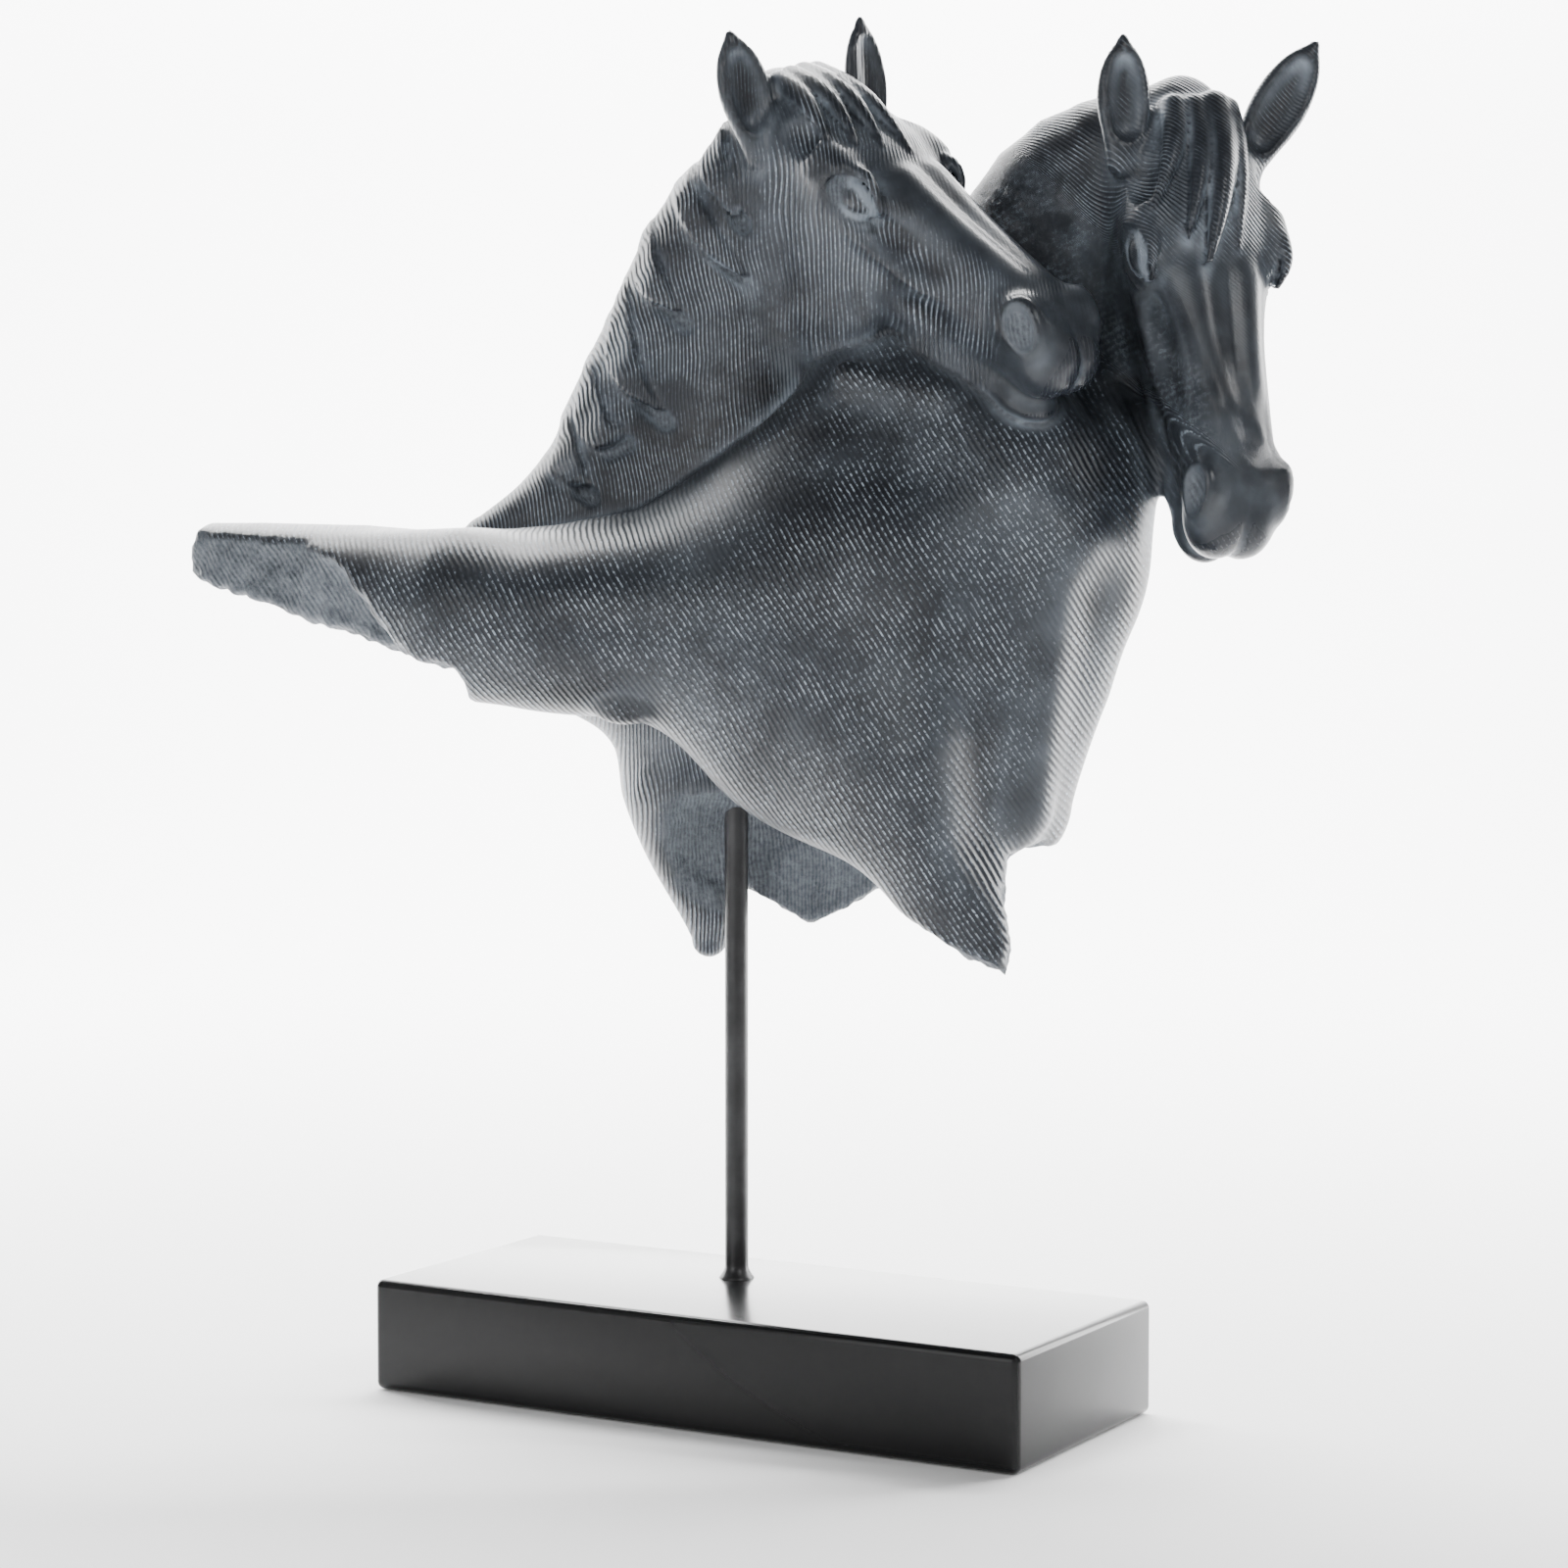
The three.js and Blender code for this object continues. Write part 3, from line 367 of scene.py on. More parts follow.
FAR_HEAD = Head((13, 5, 444.5), (0.64, -0.514, -0.571), (0.297, -0.519, 0.801), (0.385, -0.055), [
    forelock_strand(-0.075, -0.15, 0.24, 0.03, 0.028),
    forelock_strand(-0.04, -0.1, 0.28, 0.048, 0.03),
    forelock_strand(0, -0.05, 0.31, 0.056, 0.032),
    forelock_strand(0.04, 0.012, 0.34, 0.05, 0.032),
    forelock_strand(0.075, 0.06, 0.27, 0.032, 0.026),
])
NEAR_HEAD = Head((143, -22.5, 433), (0.111, -0.355, -0.928), (0.339, -0.864, 0.371), (0.35, -0.045), [
    forelock_strand(0.03, -0.055, 0.4, 0.056, 0.04),
    forelock_strand(-0.015, -0.09, 0.33, 0.05, 0.03),
    forelock_strand(-0.06, -0.155, 0.25, 0.032, 0.03),
    forelock_strand(0.065, 0.03, 0.34, 0.045, 0.03),
])


# The two bodies
def near_body(p):
    d = ball(p, (40, -23, 256), (72, 45, 68))
    d = smin(d, ball(p, (86, -20, 290), (44, 39, 55)), 14)
    d = smin(d, limb(p, (80, -15, 243), (77, -12, 206), 33, 28), 14)
    d = smin(d, trunk(p, [(78, -12, 307, 54, 35), (75, 6, 346, 54, 24), (93, 7, 381, 34, 23),
                          (106, 3, 405, 28, 21), (126, -7, 419, 22, 19)], (0, 1, 0)), 10)
    d = smin(d, strand(p, [(58, -12, 330, 25), (33, -8, 322, 24), (0, -2, 299, 23),
                           (-39, 1, 275, 23), (-87, 3, 273, 20), (-136, 14, 281, 15),
                           (-185, 33, 286, 11), (-209, 41, 287, 9)], 10), 22)
    d = smin(d, ball(p, (-48, -23, 263), (74, 33, 30)), 22)
    d = smin(d, limb(p, (-100, -20, 268), (-190, 22, 284), 26, 10), 12)
    return smin(d, limb(p, (50, -40, 215), (73, -52, 158), 33, 13), 18)


def far_body(p):
    d = ball(p, (-4, 41, 236), (46, 33, 76))
    d = smin(d, strand(p, [(-20, 34, 268, 35), (-58, 37, 266, 28), (-88, 37, 270, 22),
                           (-104, 38, 272, 15)]), 18)
    d = smin(d, trunk(p, [(-24, 31, 260, 62, 35), (-20, 31, 315, 52, 32), (-12, 27, 354, 42, 27),
                          (-3, 21, 387, 35, 24), (13, 13, 412, 28, 22)], (0.1, 1, 0)), 16)
    d = smin(d, limb(p, (-66, 28, 301), (-92, 32, 291), 17, 9), 12)
    d = smin(d, ball(p, (20, 38, 186), (30, 20, 28)), 12)
    return smin(d, limb(p, (-12, 40, 200), (-17, 44, 152.5), 29, 6), 14)


def muscles(d, p):
    """Low swells and furrows over the near horse's shoulder, breast and throat."""
    d = smin(d, limb(p, (99, -50, 290), (92, -44, 205), 9, 7), 16)
    d = smax(d, -limb(p, (84, -74, 285), (80, -68, 196), 8, 9), 22)
    d = smax(d, -limb(p, (113, -58, 268), (106, -50, 205), 7, 6), 20)
    d = smin(d, limb(p, (30, -28, 344), (58, -35, 337), 5, 4), 8)
    d = smax(d, -limb(p, (106, -12, 352), (113, -36, 338), 8, 7), 8)
    return smin(d, ball(p, (-43, -37, 236), (9, 7, 5)), 5)


HEAD_SEAM = 9
HORSE_SEAM = 2


def intact(p):
    """Both horses before anything is broken away."""
    near = smin(muscles(near_body(p), p), NEAR_HEAD.shape(p), HEAD_SEAM)
    far = smin(far_body(p), FAR_HEAD.shape(p), HEAD_SEAM)
    return smin(near, far, HORSE_SEAM)


# Broken faces
SHELL_EDGE = [((-42, 0, 233), (-0.56, 0, -0.83)), ((-78, 0, 234), (-0.325, 0, -0.946)),
              ((74, 0, 160), (-0.4, 0, -0.92)), ((0, -6, 0), (0, -1, 0))]
FAR_HALF = ((0, 0, 0), (0, 1, 0))
BREAKS = [
    (2, [((-137, -14, 280), (-0.54, -0.84, -0.08)), ((-112, 0, 252), (-0.75, 0, -0.66))]),
    (5, [((-192.5, 0, 284), (-1, 0, 0))]),
    (3, [((-110, 0, 252.5), (-0.31, 0, -0.95)), ((-95, 0, 0), (-1, 0, 0))]),
    (2, [((80.5, 0, 0), (1, 0, 0)), ((0, 0, 181), (0.1, 0, -1))]),
    (2, [((10, 0, 164), (-0.5, 0, -0.87)), ((-9, 0, 0), (1, 0, 0)), FAR_HALF]),
    (2, [((28, 0, 163.5), (0.45, 0, -0.89)), ((14, 0, 0), (1, 0, 0)), FAR_HALF]),
]


def broken(d, p):
    rough = 1.2 * waves(p, 24, 1) + 0.7 * waves(p, 9, 2) + 0.35 * waves(p, 4.5, 5)
    for k, sides in BREAKS:
        cut = blended(4, [beyond(p, *side) for side in sides])
        d = smax(d, cut + rough, k)
    d = smax(d, blended(6, [beyond(p, *side) for side in SHELL_EDGE]) + rough, 2)
    return smax(d, -ball(p, (12, 2, 166), (86, 29, 44)) - rough, 4)


# Mane locks that fall from the far horse's crest down the near side of its neck: each has a
# root on the crest, a belly and a tip, with a dark undercut below its lower edge
MANE_LOCKS = [
    [(-8, 14, 430, 4), (-13, 6, 422, 5.5), (-14, 2, 413, 5), (-7, -2, 400, 1.2)],
    [(-24, 20, 416, 4), (-22, 8, 405, 6), (-16, 1, 392, 5), (-4.5, -2, 379, 1)],
    [(-37, 20, 396, 4), (-38, 12, 384, 6), (-34, 7, 376, 5), (-27, 3.5, 368, 1)],
    [(-46, 20, 374, 4), (-47, 12, 358, 6.5), (-42, 7, 345, 5), (-33, 3, 335, 1)],
    [(-59, 22, 348, 4), (-57, 13, 333, 6.5), (-52, 9, 327, 5), (-46, 6, 328, 1.5)],
    [(-67, 22, 330, 4), (-66, 14, 319, 5.5), (-62, 11, 314, 4), (-58, 9, 310, 1)],
]
UNDERCUT = 4.2
CREST_SWELL = 2.4


def mane(d, p):
    close = (d < 12) & (p[0] < 4) & (p[0] > -80) & (p[2] > 300) & (p[2] < 440)
    q, near = p[:, close], d[close]
    crest = near - CREST_SWELL * np.clip((16 - q[1]) / 10, 0.2, 1)
    for rows in MANE_LOCKS:
        below = [(x + 2.5, y - 1, z - UNDERCUT - r * 0.4, 2.4) for x, y, z, r in rows[2:]]
        near = smax(near, -strand(q, below, 5), 2.5)
    for rows in MANE_LOCKS:
        near = smin(near, np.maximum(strand(q, rows, 8), crest), 1.4)
    out = d.copy()
    out[close] = near
    return out


# Ears: foot, tip, the way they open, and their width
EARS = [
    ((0, -9, 424), (-9, -15, 457), (0.3, -0.94, 0.1), 18),
    ((38, 19, 430), (34.5, 15, 466), (0.66, -0.74, 0.1), 17),
    ((119, -31.5, 418.5), (118.5, -33.5, 453), (0.25, -0.95, 0), 18),
    ((162, -16, 417), (183.5, -16, 453.5), (0.1, -0.98, 0.1), 18.5),
]
EAR_OUTLINE = [(-0.3, 0.55), (-0.1, 0.66), (0.1, 0.8), (0.3, 0.96), (0.46, 1), (0.62, 0.93),
               (0.78, 0.73), (0.9, 0.44), (1, 0.1)]
EAR_DEPTH = 8
EAR_WALL = 2.1
EAR_TIP_RADIUS = 0.9


def ear(p, foot, tip, facing, width):
    up = unit(np.subtract(tip, foot))
    side = unit(np.cross(up, facing))
    face = np.cross(side, up)
    rise = float(np.linalg.norm(np.subtract(tip, foot)))
    x, y, z = np.array([side, face, up], F32) @ (p - column(foot))
    t = np.clip(z / rise, -0.3, 1)
    outline = profile(t, EAR_OUTLINE)
    wide = outline * (width / 2)
    deep = outline * EAR_DEPTH * profile(t, [(-0.3, 0.9), (0.2, 0.75), (0.6, 0.55), (1, 0.5)])
    d = (np.sqrt((x / wide) ** 2 + (y / deep) ** 2) - 1) * np.minimum(wide, deep)
    d = smax(d, z - rise, 1)
    d = smax(d, -z - 0.28 * rise, 3)
    d = smin(d, limb(p, np.add(foot, np.multiply(up, rise * 0.8)), tip, 1.6, EAR_TIP_RADIUS), 2)
    bowl = np.maximum(wide - EAR_WALL, 0.4)
    sunk = np.maximum(deep * 0.95 - EAR_WALL * 0.3, 0.4)
    hollow = np.sqrt((x / bowl) ** 2 + ((y - deep * 0.95) / sunk) ** 2) - 1
    hollow = smax(hollow * np.minimum(bowl, sunk), 0.02 * rise - z, 6)
    hollow = smax(hollow, z - rise * 0.86, 2)
    return smax(d, -hollow, 0.8)


def with_ears(d, p):
    out = d.copy()
    for foot, tip, facing, width in EARS:
        middle = column(np.add(foot, tip)) / 2
        close = length(p - middle) < 34
        out[close] = smin(out[close], ear(p[:, close], foot, tip, facing, width), 3)
    return out


def figure(p):
    d = broken(intact(p), p)
    d = FAR_HEAD.details(d, p)
    d = NEAR_HEAD.details(d, p)
    return with_ears(mane(d, p), p)


# Mesh of a field: one vertex in each cell that the surface passes, found through wider cells
FIELD_LOW = np.array([-204.0, -98.0, 134.0])
FIELD_HIGH = np.array([194.0, 90.0, 474.0])
WIDE_CELL = 4
SEARCH_REACH = 2.4
CORNERS = [(i, j, k) for i in (0, 1) for j in (0, 1) for k in (0, 1)]
BATCH = 400000


def in_batches(field, p):
    return np.concatenate([field(p[:, n:n + BATCH].astype(F32)) for n in range(0, p.shape[1], BATCH)])


def sample(field, cell):
    wide = cell * WIDE_CELL
    count = np.ceil((FIELD_HIGH - FIELD_LOW) / wide).astype(int)
    lines = [FIELD_LOW[i] + np.arange(count[i] + 1) * wide for i in range(3)]
    nodes = np.stack(np.meshgrid(*lines, indexing="ij")).reshape(3, -1)
    rough = in_batches(field, nodes).reshape(count + 1)
    size = count * WIDE_CELL + 1
    values = rough
    for axis in range(3):
        values = np.repeat(values, WIDE_CELL, axis)
    values = np.where(values[:size[0], :size[1], :size[2]] > 0, wide * 2, -wide * 2).astype(F32)
    close = np.abs(rough) < wide * SEARCH_REACH
    block = np.zeros(count, bool)
    for i, j, k in CORNERS:
        block |= close[i:count[0] + i, j:count[1] + j, k:count[2] + k]
    steps = np.stack(np.meshgrid(*[np.arange(WIDE_CELL + 1)] * 3, indexing="ij")).reshape(3, -1).T
    cells = (np.argwhere(block)[:, None, :] * WIDE_CELL + steps[None]).reshape(-1, 3)
    flat = np.unique(np.ravel_multi_index(cells.T, size))
    places = np.stack(np.unravel_index(flat, size))
    values.reshape(-1)[flat] = in_batches(field, FIELD_LOW[:, None] + places * cell)
    return values


def nets(values, cell):
    """Vertices and quads of the surface where values change sign."""
    inside = values < 0
    size = np.array(values.shape)
    filled = np.zeros(size - 1, np.uint8)
    for i, j, k in CORNERS:
        filled += inside[i:size[0] - 1 + i, j:size[1] - 1 + j, k:size[2] - 1 + k]
    crossed = (filled > 0) & (filled < 8)
    cells = np.argwhere(crossed)
    number = -np.ones(crossed.shape, np.int64)
    number[crossed] = np.arange(len(cells))
    total, hits = np.zeros((len(cells), 3)), np.zeros(len(cells))
    for corner in CORNERS:
        for axis in range(3):
            if corner[axis]:
                continue
            other = list(corner)
            other[axis] = 1
            a, b = values[tuple((cells + corner).T)], values[tuple((cells + other).T)]
            changes = (a < 0) != (b < 0)
            share = np.where(changes, a / np.where(changes, a - b, 1), 0)
            place = np.tile(np.array(corner, float), (len(cells), 1))
            place[:, axis] = share
            total[changes] += place[changes]
            hits[changes] += 1
    vertices = FIELD_LOW + (cells + total / hits[:, None]) * cell
    return vertices, np.concatenate([quads_across(inside, number, axis) for axis in range(3)])


def quads_across(inside, number, axis):
    """The quads around every grid edge along one axis that the surface crosses."""
    p, q = (axis + 1) % 3, (axis + 2) % 3
    start, end = [slice(1, -1)] * 3, [slice(1, -1)] * 3
    start[axis], end[axis] = slice(0, -1), slice(1, None)
    first, second = inside[tuple(start)], inside[tuple(end)]
    edges = np.argwhere(first != second)
    turned = ~first[tuple(edges.T)]
    base = edges.copy()
    base[:, [p, q]] += 1

    def beside(dp, dq):
        cell = base.copy()
        cell[:, p] += dp
        cell[:, q] += dq
        return number[tuple(cell.T)]

    quads = np.stack([beside(-1, -1), beside(0, -1), beside(0, 0), beside(-1, 0)], 1)
    quads[turned] = quads[turned][:, ::-1]
    return quads


SLOPE_PROBE = 0.35
LEAST_STEEPNESS = 0.25
STEP_SHARE = 0.8
LONGEST_STEPS_IN_CELL = 3


def slope_of(field, p, step=SLOPE_PROBE):
    """Gradient of a field by differences."""
    out = []
    for axis in range(3):
        shift = np.zeros((3, 1))
        shift[axis] = step
        out.append(in_batches(field, p + shift) - in_batches(field, p - shift))
    return np.stack(out) / (2 * step)


def figure_mesh(cell):
    vertices, quads = nets(sample(figure, cell), cell)
    p = vertices.T
    slope = slope_of(figure, p)
    steep = np.maximum((slope * slope).sum(0), LEAST_STEEPNESS)
    longest = cell / LONGEST_STEPS_IN_CELL
    step = np.clip(in_batches(figure, p) / steep, -longest, longest)
    return (p - slope * step * STEP_SHARE).T, largest_shell(len(vertices), quads)


def largest_shell(count, quads):
    """The quads of the biggest shell joined by edges that two quads share; crumbs are dropped."""
    ends = np.sort(np.stack([quads, np.roll(quads, -1, 1)], 2), 2)
    _, edge, uses = np.unique((ends[..., 0] * count + ends[..., 1]).ravel(),
                              return_inverse=True, return_counts=True)
    edge = edge.reshape(-1, 4)
    joins = uses[edge] == 2
    label = np.arange(len(quads))
    while True:
        lowest = np.full(len(uses), len(quads))
        np.minimum.at(lowest, edge[joins], np.broadcast_to(label[:, None], edge.shape)[joins])
        spread = np.minimum(label, np.where(joins, lowest[edge], len(quads)).min(1))
        spread = spread[spread]
        if (spread == label).all():
            break
        label = spread
    shells, sizes = np.unique(label, return_counts=True)
    return quads[label == shells[np.argmax(sizes)]]


# Facts that the materials read from the figure's vertices
LAYER_NORMAL = unit((-0.97, -0.15, -0.1))
LAYER_STEP = 1.3
NEAR_HEAD_LAYERS = unit((-0.62, -0.3, -0.72))
SHOULDER_LAYERS = unit((0.84, -0.1, 0.54))
SHOULDER_STEP = 1.75
CROSS_LAYERS = unit((0.5, 0.1, -0.86))
CROSS_STEP = 2.3
UNBROKEN = 0.5
RIM_WASH = 0.5
HOLLOW_REACH = 3.0
PROUD_REACH = 1.5


def layer_facts(p):
    """How many layers deep a point lies, and how unbroken their lines are there."""
    bend = 1.1 * waves(p, 46, 7) + 0.3 * waves(p, 13, 8)
    far = (np.array(LAYER_NORMAL, F32) @ p + bend) / LAYER_STEP
    face = (np.array(NEAR_HEAD_LAYERS, F32) @ p + bend) / LAYER_STEP
    shoulder = (np.array(SHOULDER_LAYERS, F32) @ p + 0.5 * bend) / SHOULDER_STEP
    own = 1 / (1 + np.exp(-beyond(p, (112, 0, 372), (0.7, 0, 0.7)) / 3))
    near = (1 - own) * shoulder + own * face
    on_near = in_batches(near_side, p) < 0
    return np.where(on_near, near, far), UNBROKEN * np.where(on_near, own, 1)


def near_side(p):
    """Negative where the near horse makes the surface."""
    near = smin(near_body(p), NEAR_HEAD.shape(p), HEAD_SEAM)
    return near - smin(far_body(p), FAR_HEAD.shape(p), HEAD_SEAM)


def cross_phase(p):
    return (np.array(CROSS_LAYERS, F32) @ p + 0.9 * waves(p, 40, 9)) / CROSS_STEP


def facts_of(vertices):
    p = vertices.T.astype(F32)
    whole = in_batches(intact, p)
    lost = np.clip((-whole - 0.9) / 1.2, 0, 1)
    slope = slope_of(figure, p, 0.5)
    normal = slope / np.maximum(length(slope), 1e-4)
    raised = in_batches(figure, p + normal * HOLLOW_REACH)
    hollow = np.clip((HOLLOW_REACH - raised) / HOLLOW_REACH * 1.6, 0, 1)
    sunk = in_batches(figure, p - normal * PROUD_REACH)
    proud = np.clip((sunk + PROUD_REACH) / PROUD_REACH * 1.4, 0, 1)
    smooth = np.zeros(p.shape[1])
    rims = RIM_WASH * np.maximum(FAR_HEAD.rims(p), NEAR_HEAD.rims(p))
    for horse in (FAR_HEAD, NEAR_HEAD):
        s, v, w = horse.local(p)
        muzzle = np.clip((s - 0.74) / 0.12, 0, 1)
        bridge = np.clip((w + 0.045) / 0.03, 0, 1) * np.clip((s - 0.3) / 0.1, 0, 1)
        locks = 0.8 * np.clip((w - 0.03) / 0.02, 0, 1)
        brow = np.clip(1.3 - length(np.stack([s - 0.32, np.abs(v) - 0.16, w + 0.05])) / 0.09, 0, 1)
        own = np.clip((4 - in_batches(horse.shape, p)) / 2, 0, 1)
        hollow = hollow * (1 - 0.8 * brow * own)
        smooth = np.maximum(smooth, np.maximum.reduce([muzzle, bridge, brow, locks]) * own)
    for foot, tip, _, _ in EARS:
        ring = length(p - (column(foot) + column(tip)) / 2)
        smooth = np.maximum(smooth, 0.8 * np.clip((26 - ring) / 6, 0, 1))
    layers, lined = layer_facts(p)
    return {"layers": layers, "lined": lined, "cross": cross_phase(p), "lost": lost,
            "hollow": hollow, "proud": proud, "smooth": smooth, "rims": rims}


def set_facts(mesh, facts):
    for name, values in facts.items():
        attribute = mesh.attributes.new(name, "FLOAT", "POINT")
        attribute.data.foreach_set("value", np.asarray(values, F32))


def mesh_object(name, vertices, faces):
    mesh = bpy.data.meshes.new(name)
    mesh.from_pydata(np.asarray(vertices, float).tolist(), [], np.asarray(faces).tolist())
    mesh.update()
    mesh.shade_smooth()
    obj = bpy.data.objects.new(name, mesh)
    bpy.context.collection.objects.link(obj)
    return obj


def thinned(obj, triangles):
    """Fewer, uneven triangles where the surface is plain."""
    count = sum(len(face.vertices) - 2 for face in obj.data.polygons)
    if count > triangles:
        collapse = obj.modifiers.new("thin", "DECIMATE")
        collapse.ratio = triangles / count
        whole = bpy.data.meshes.new_from_object(obj.evaluated_get(bpy.context.evaluated_depsgraph_get()))
        obj.modifiers.clear()
        obj.data = whole
    return obj


def build_figure():
    vertices, quads = figure_mesh(FINE_CELL)
    c, s = math.cos(FIGURE_TURN), math.sin(FIGURE_TURN)
    turn = np.array([[c, -s, 0], [s, c, 0], [0, 0, 1]])
    obj = thinned(mesh_object("horse_figure", vertices, quads), TRIANGLES)
    drawn = np.empty(len(obj.data.vertices) * 3)
    obj.data.vertices.foreach_get("co", drawn)
    drawn = drawn.reshape(-1, 3)
    set_facts(obj.data, facts_of(drawn))
    obj.data.vertices.foreach_set("co", (drawn @ turn.T * MM).ravel())
    obj.data.update()
    obj.data.shade_smooth()
    return obj


# Node materials
class Nodes:
    """Short names for the nodes of one material."""

    def __init__(self, name):
        self.material = bpy.data.materials.new(name)
        self.material.use_nodes = True
        self.tree = self.material.node_tree
        self.shader = self.tree.nodes["Principled BSDF"]

    def add(self, kind, inputs=None, **settings):
        node = self.tree.nodes.new(kind)
        for key, value in settings.items():
            setattr(node, key, value)
        for key, value in (inputs or {}).items():
            self.feed(node.inputs[key], value)
        return node

    def feed(self, socket, value):
        if isinstance(value, bpy.types.NodeSocket):
            self.tree.links.new(value, socket)
        else:
            socket.default_value = value

    def fact(self, name):
        return self.add("ShaderNodeAttribute", attribute_name=name).outputs["Fac"]

    def math(self, operation, a, b=0.0, clamp=False):
        return self.add("ShaderNodeMath", {0: a, 1: b}, operation=operation, use_clamp=clamp).outputs[0]

    def noise(self, scale, detail=4, roughness=0.5, vector=None, distortion=0.0):
        inputs = {"Scale": scale, "Detail": detail, "Roughness": roughness, "Distortion": distortion,
                  "Vector": vector or self.place()}
        return self.add("ShaderNodeTexNoise", inputs).outputs["Fac"]

    def place(self):
        return self.add("ShaderNodeTexCoord").outputs["Object"]

    def spread(self, value, low, high, to_low=0.0, to_high=1.0):
        inputs = {"Value": value, "From Min": low, "From Max": high, "To Min": to_low, "To Max": to_high}
        return self.add("ShaderNodeMapRange", inputs).outputs["Result"]

    def mix(self, share, a, b):
        node = self.add("ShaderNodeMix", {0: share}, data_type="RGBA")
        self.feed(node.inputs[6], a)
        self.feed(node.inputs[7], b)
        return node.outputs[2]

    def bump(self, height, strength, distance, normal=None):
        node = self.add("ShaderNodeBump", {"Height": height, "Strength": strength, "Distance": distance})
        if normal is not None:
            self.feed(node.inputs["Normal"], normal)
        return node.outputs["Normal"]

    def finish(self, **sockets):
        for key, value in sockets.items():
            self.feed(self.shader.inputs[key.replace("_", " ")], value)
        return self.material


CHARCOAL = (0.0085, 0.0095, 0.0125, 1)
SLATE = (0.019, 0.023, 0.03, 1)
BLUE_GREY = (0.33, 0.385, 0.45, 1)
BROKEN_DARK = (0.03, 0.036, 0.044, 1)
BROKEN_PALE = (0.15, 0.17, 0.195, 1)


def wave_of(n, fact, wobble):
    """A sine across the planes of a fact, shaken a little."""
    return n.math("SINE", n.math("ADD", n.math("MULTIPLY", n.fact(fact), 2 * math.pi), wobble))


def layer_lines(n, smooth):
    """The layered lines of the cast: a wave across the layers, and how much wash sits in it."""
    line = wave_of(n, "layers", n.math("MULTIPLY", n.noise(240, 3, 0.6), 1.4))
    cross = wave_of(n, "cross", n.math("MULTIPLY", n.noise(200, 3, 0.6), 1.5))
    groove = n.spread(line, 0.3, 0.85)
    speck = n.math("ADD", n.noise(640, 5, 0.75), n.math("MULTIPLY", cross, 0.04))
    dashes = n.spread(speck, 0.47, 0.58)
    dashes = n.math("MAXIMUM", dashes, n.fact("lined"))
    strong = n.spread(n.noise(42, 6, 0.72), 0.42, 0.58)
    worn = n.math("MULTIPLY", groove, n.math("ADD", n.math("MULTIPLY", dashes, 0.9), 0.1))
    worn = n.math("MULTIPLY", worn, n.spread(strong, 0, 1, 0.12, 1))
    return line, n.math("MULTIPLY", worn, n.spread(smooth, 0, 1, 1, 0.05))


def broken_face(n):
    """Pale rough break: thin steps of the layers and scattered darker chips."""
    steps = n.math("SINE", n.math("ADD", n.math("MULTIPLY", n.fact("layers"), 2 * math.pi),
                                  n.math("MULTIPLY", n.noise(150, 4, 0.6), 7)))
    chips = n.spread(n.noise(520, 5, 0.7), 0.38, 0.62)
    broad = n.spread(n.noise(45, 4, 0.6), 0.35, 0.65)
    share = n.math("ADD", n.math("MULTIPLY", chips, 0.45), n.math("MULTIPLY", broad, 0.3))
    share = n.math("ADD", share, n.spread(steps, -1, 1, 0, 0.3), clamp=True)
    return steps, n.mix(share, BROKEN_DARK, BROKEN_PALE)


def resin_material():
    n = Nodes("dark_resin")
    smooth, lost, hollow, proud = (n.fact(k) for k in ("smooth", "lost", "hollow", "proud"))
    line, worn = layer_lines(n, smooth)
    patches = n.spread(n.noise(22, 4, 0.55), 0.34, 0.66)
    washed = n.math("MULTIPLY", hollow, n.spread(n.noise(60, 3), 0.3, 0.7, 0.1, 0.6))
    wash = n.math("MAXIMUM", worn, washed, clamp=True)
    wash = n.math("MULTIPLY", wash, n.spread(proud, 0.1, 0.7, 1, 0.2))
    wash = n.math("MAXIMUM", wash, n.fact("rims"))
    skin = n.mix(wash, n.mix(patches, CHARCOAL, SLATE), BLUE_GREY)
    steps, face = broken_face(n)
    colour = n.mix(lost, skin, face)
    height = n.math("MULTIPLY", line, n.spread(smooth, 0, 1, 1, 0.06))
    normal = n.bump(height, 0.4, 0.00032)
    normal = n.bump(n.noise(700, 4, 0.6), 0.12, 0.0006, normal)
    rough = n.math("ADD", n.noise(420, 6, 0.7), n.math("MULTIPLY", steps, 0.25))
    normal = n.bump(n.math("MULTIPLY", lost, rough), 0.6, 0.0012, normal)
    gloss = n.math("ADD", n.spread(wash, 0, 1, 0.34, 0.6), n.math("MULTIPLY", lost, 0.2))
    gloss = n.math("SUBTRACT", gloss, n.math("MULTIPLY", smooth, 0.07))
    return n.finish(Base_Color=colour, Roughness=gloss, Normal=normal, Specular_IOR_Level=0.36)


def block_material():
    n = Nodes("black_block")
    return n.finish(Base_Color=(0.006, 0.0062, 0.0066, 1), Roughness=0.22, IOR=1.36, Specular_IOR_Level=0.2,
                    Coat_Weight=0.6, Coat_Roughness=0.16, Coat_IOR=1.25)


def rod_material():
    n = Nodes("black_rod")
    ripple = n.noise(120, 3, 0.5)
    colour = n.mix(n.spread(n.noise(60, 4), 0.35, 0.7), (0.012, 0.012, 0.013, 1), (0.03, 0.03, 0.032, 1))
    normal = n.bump(ripple, 0.25, 0.0008)
    return n.finish(Base_Color=colour, Roughness=0.34, Metallic=0.35, Normal=normal)


# The block and the rod, shaped finer than their solids and inside them
BLOCK_EDGE = 0.0026
EDGE_SEGMENTS = 5


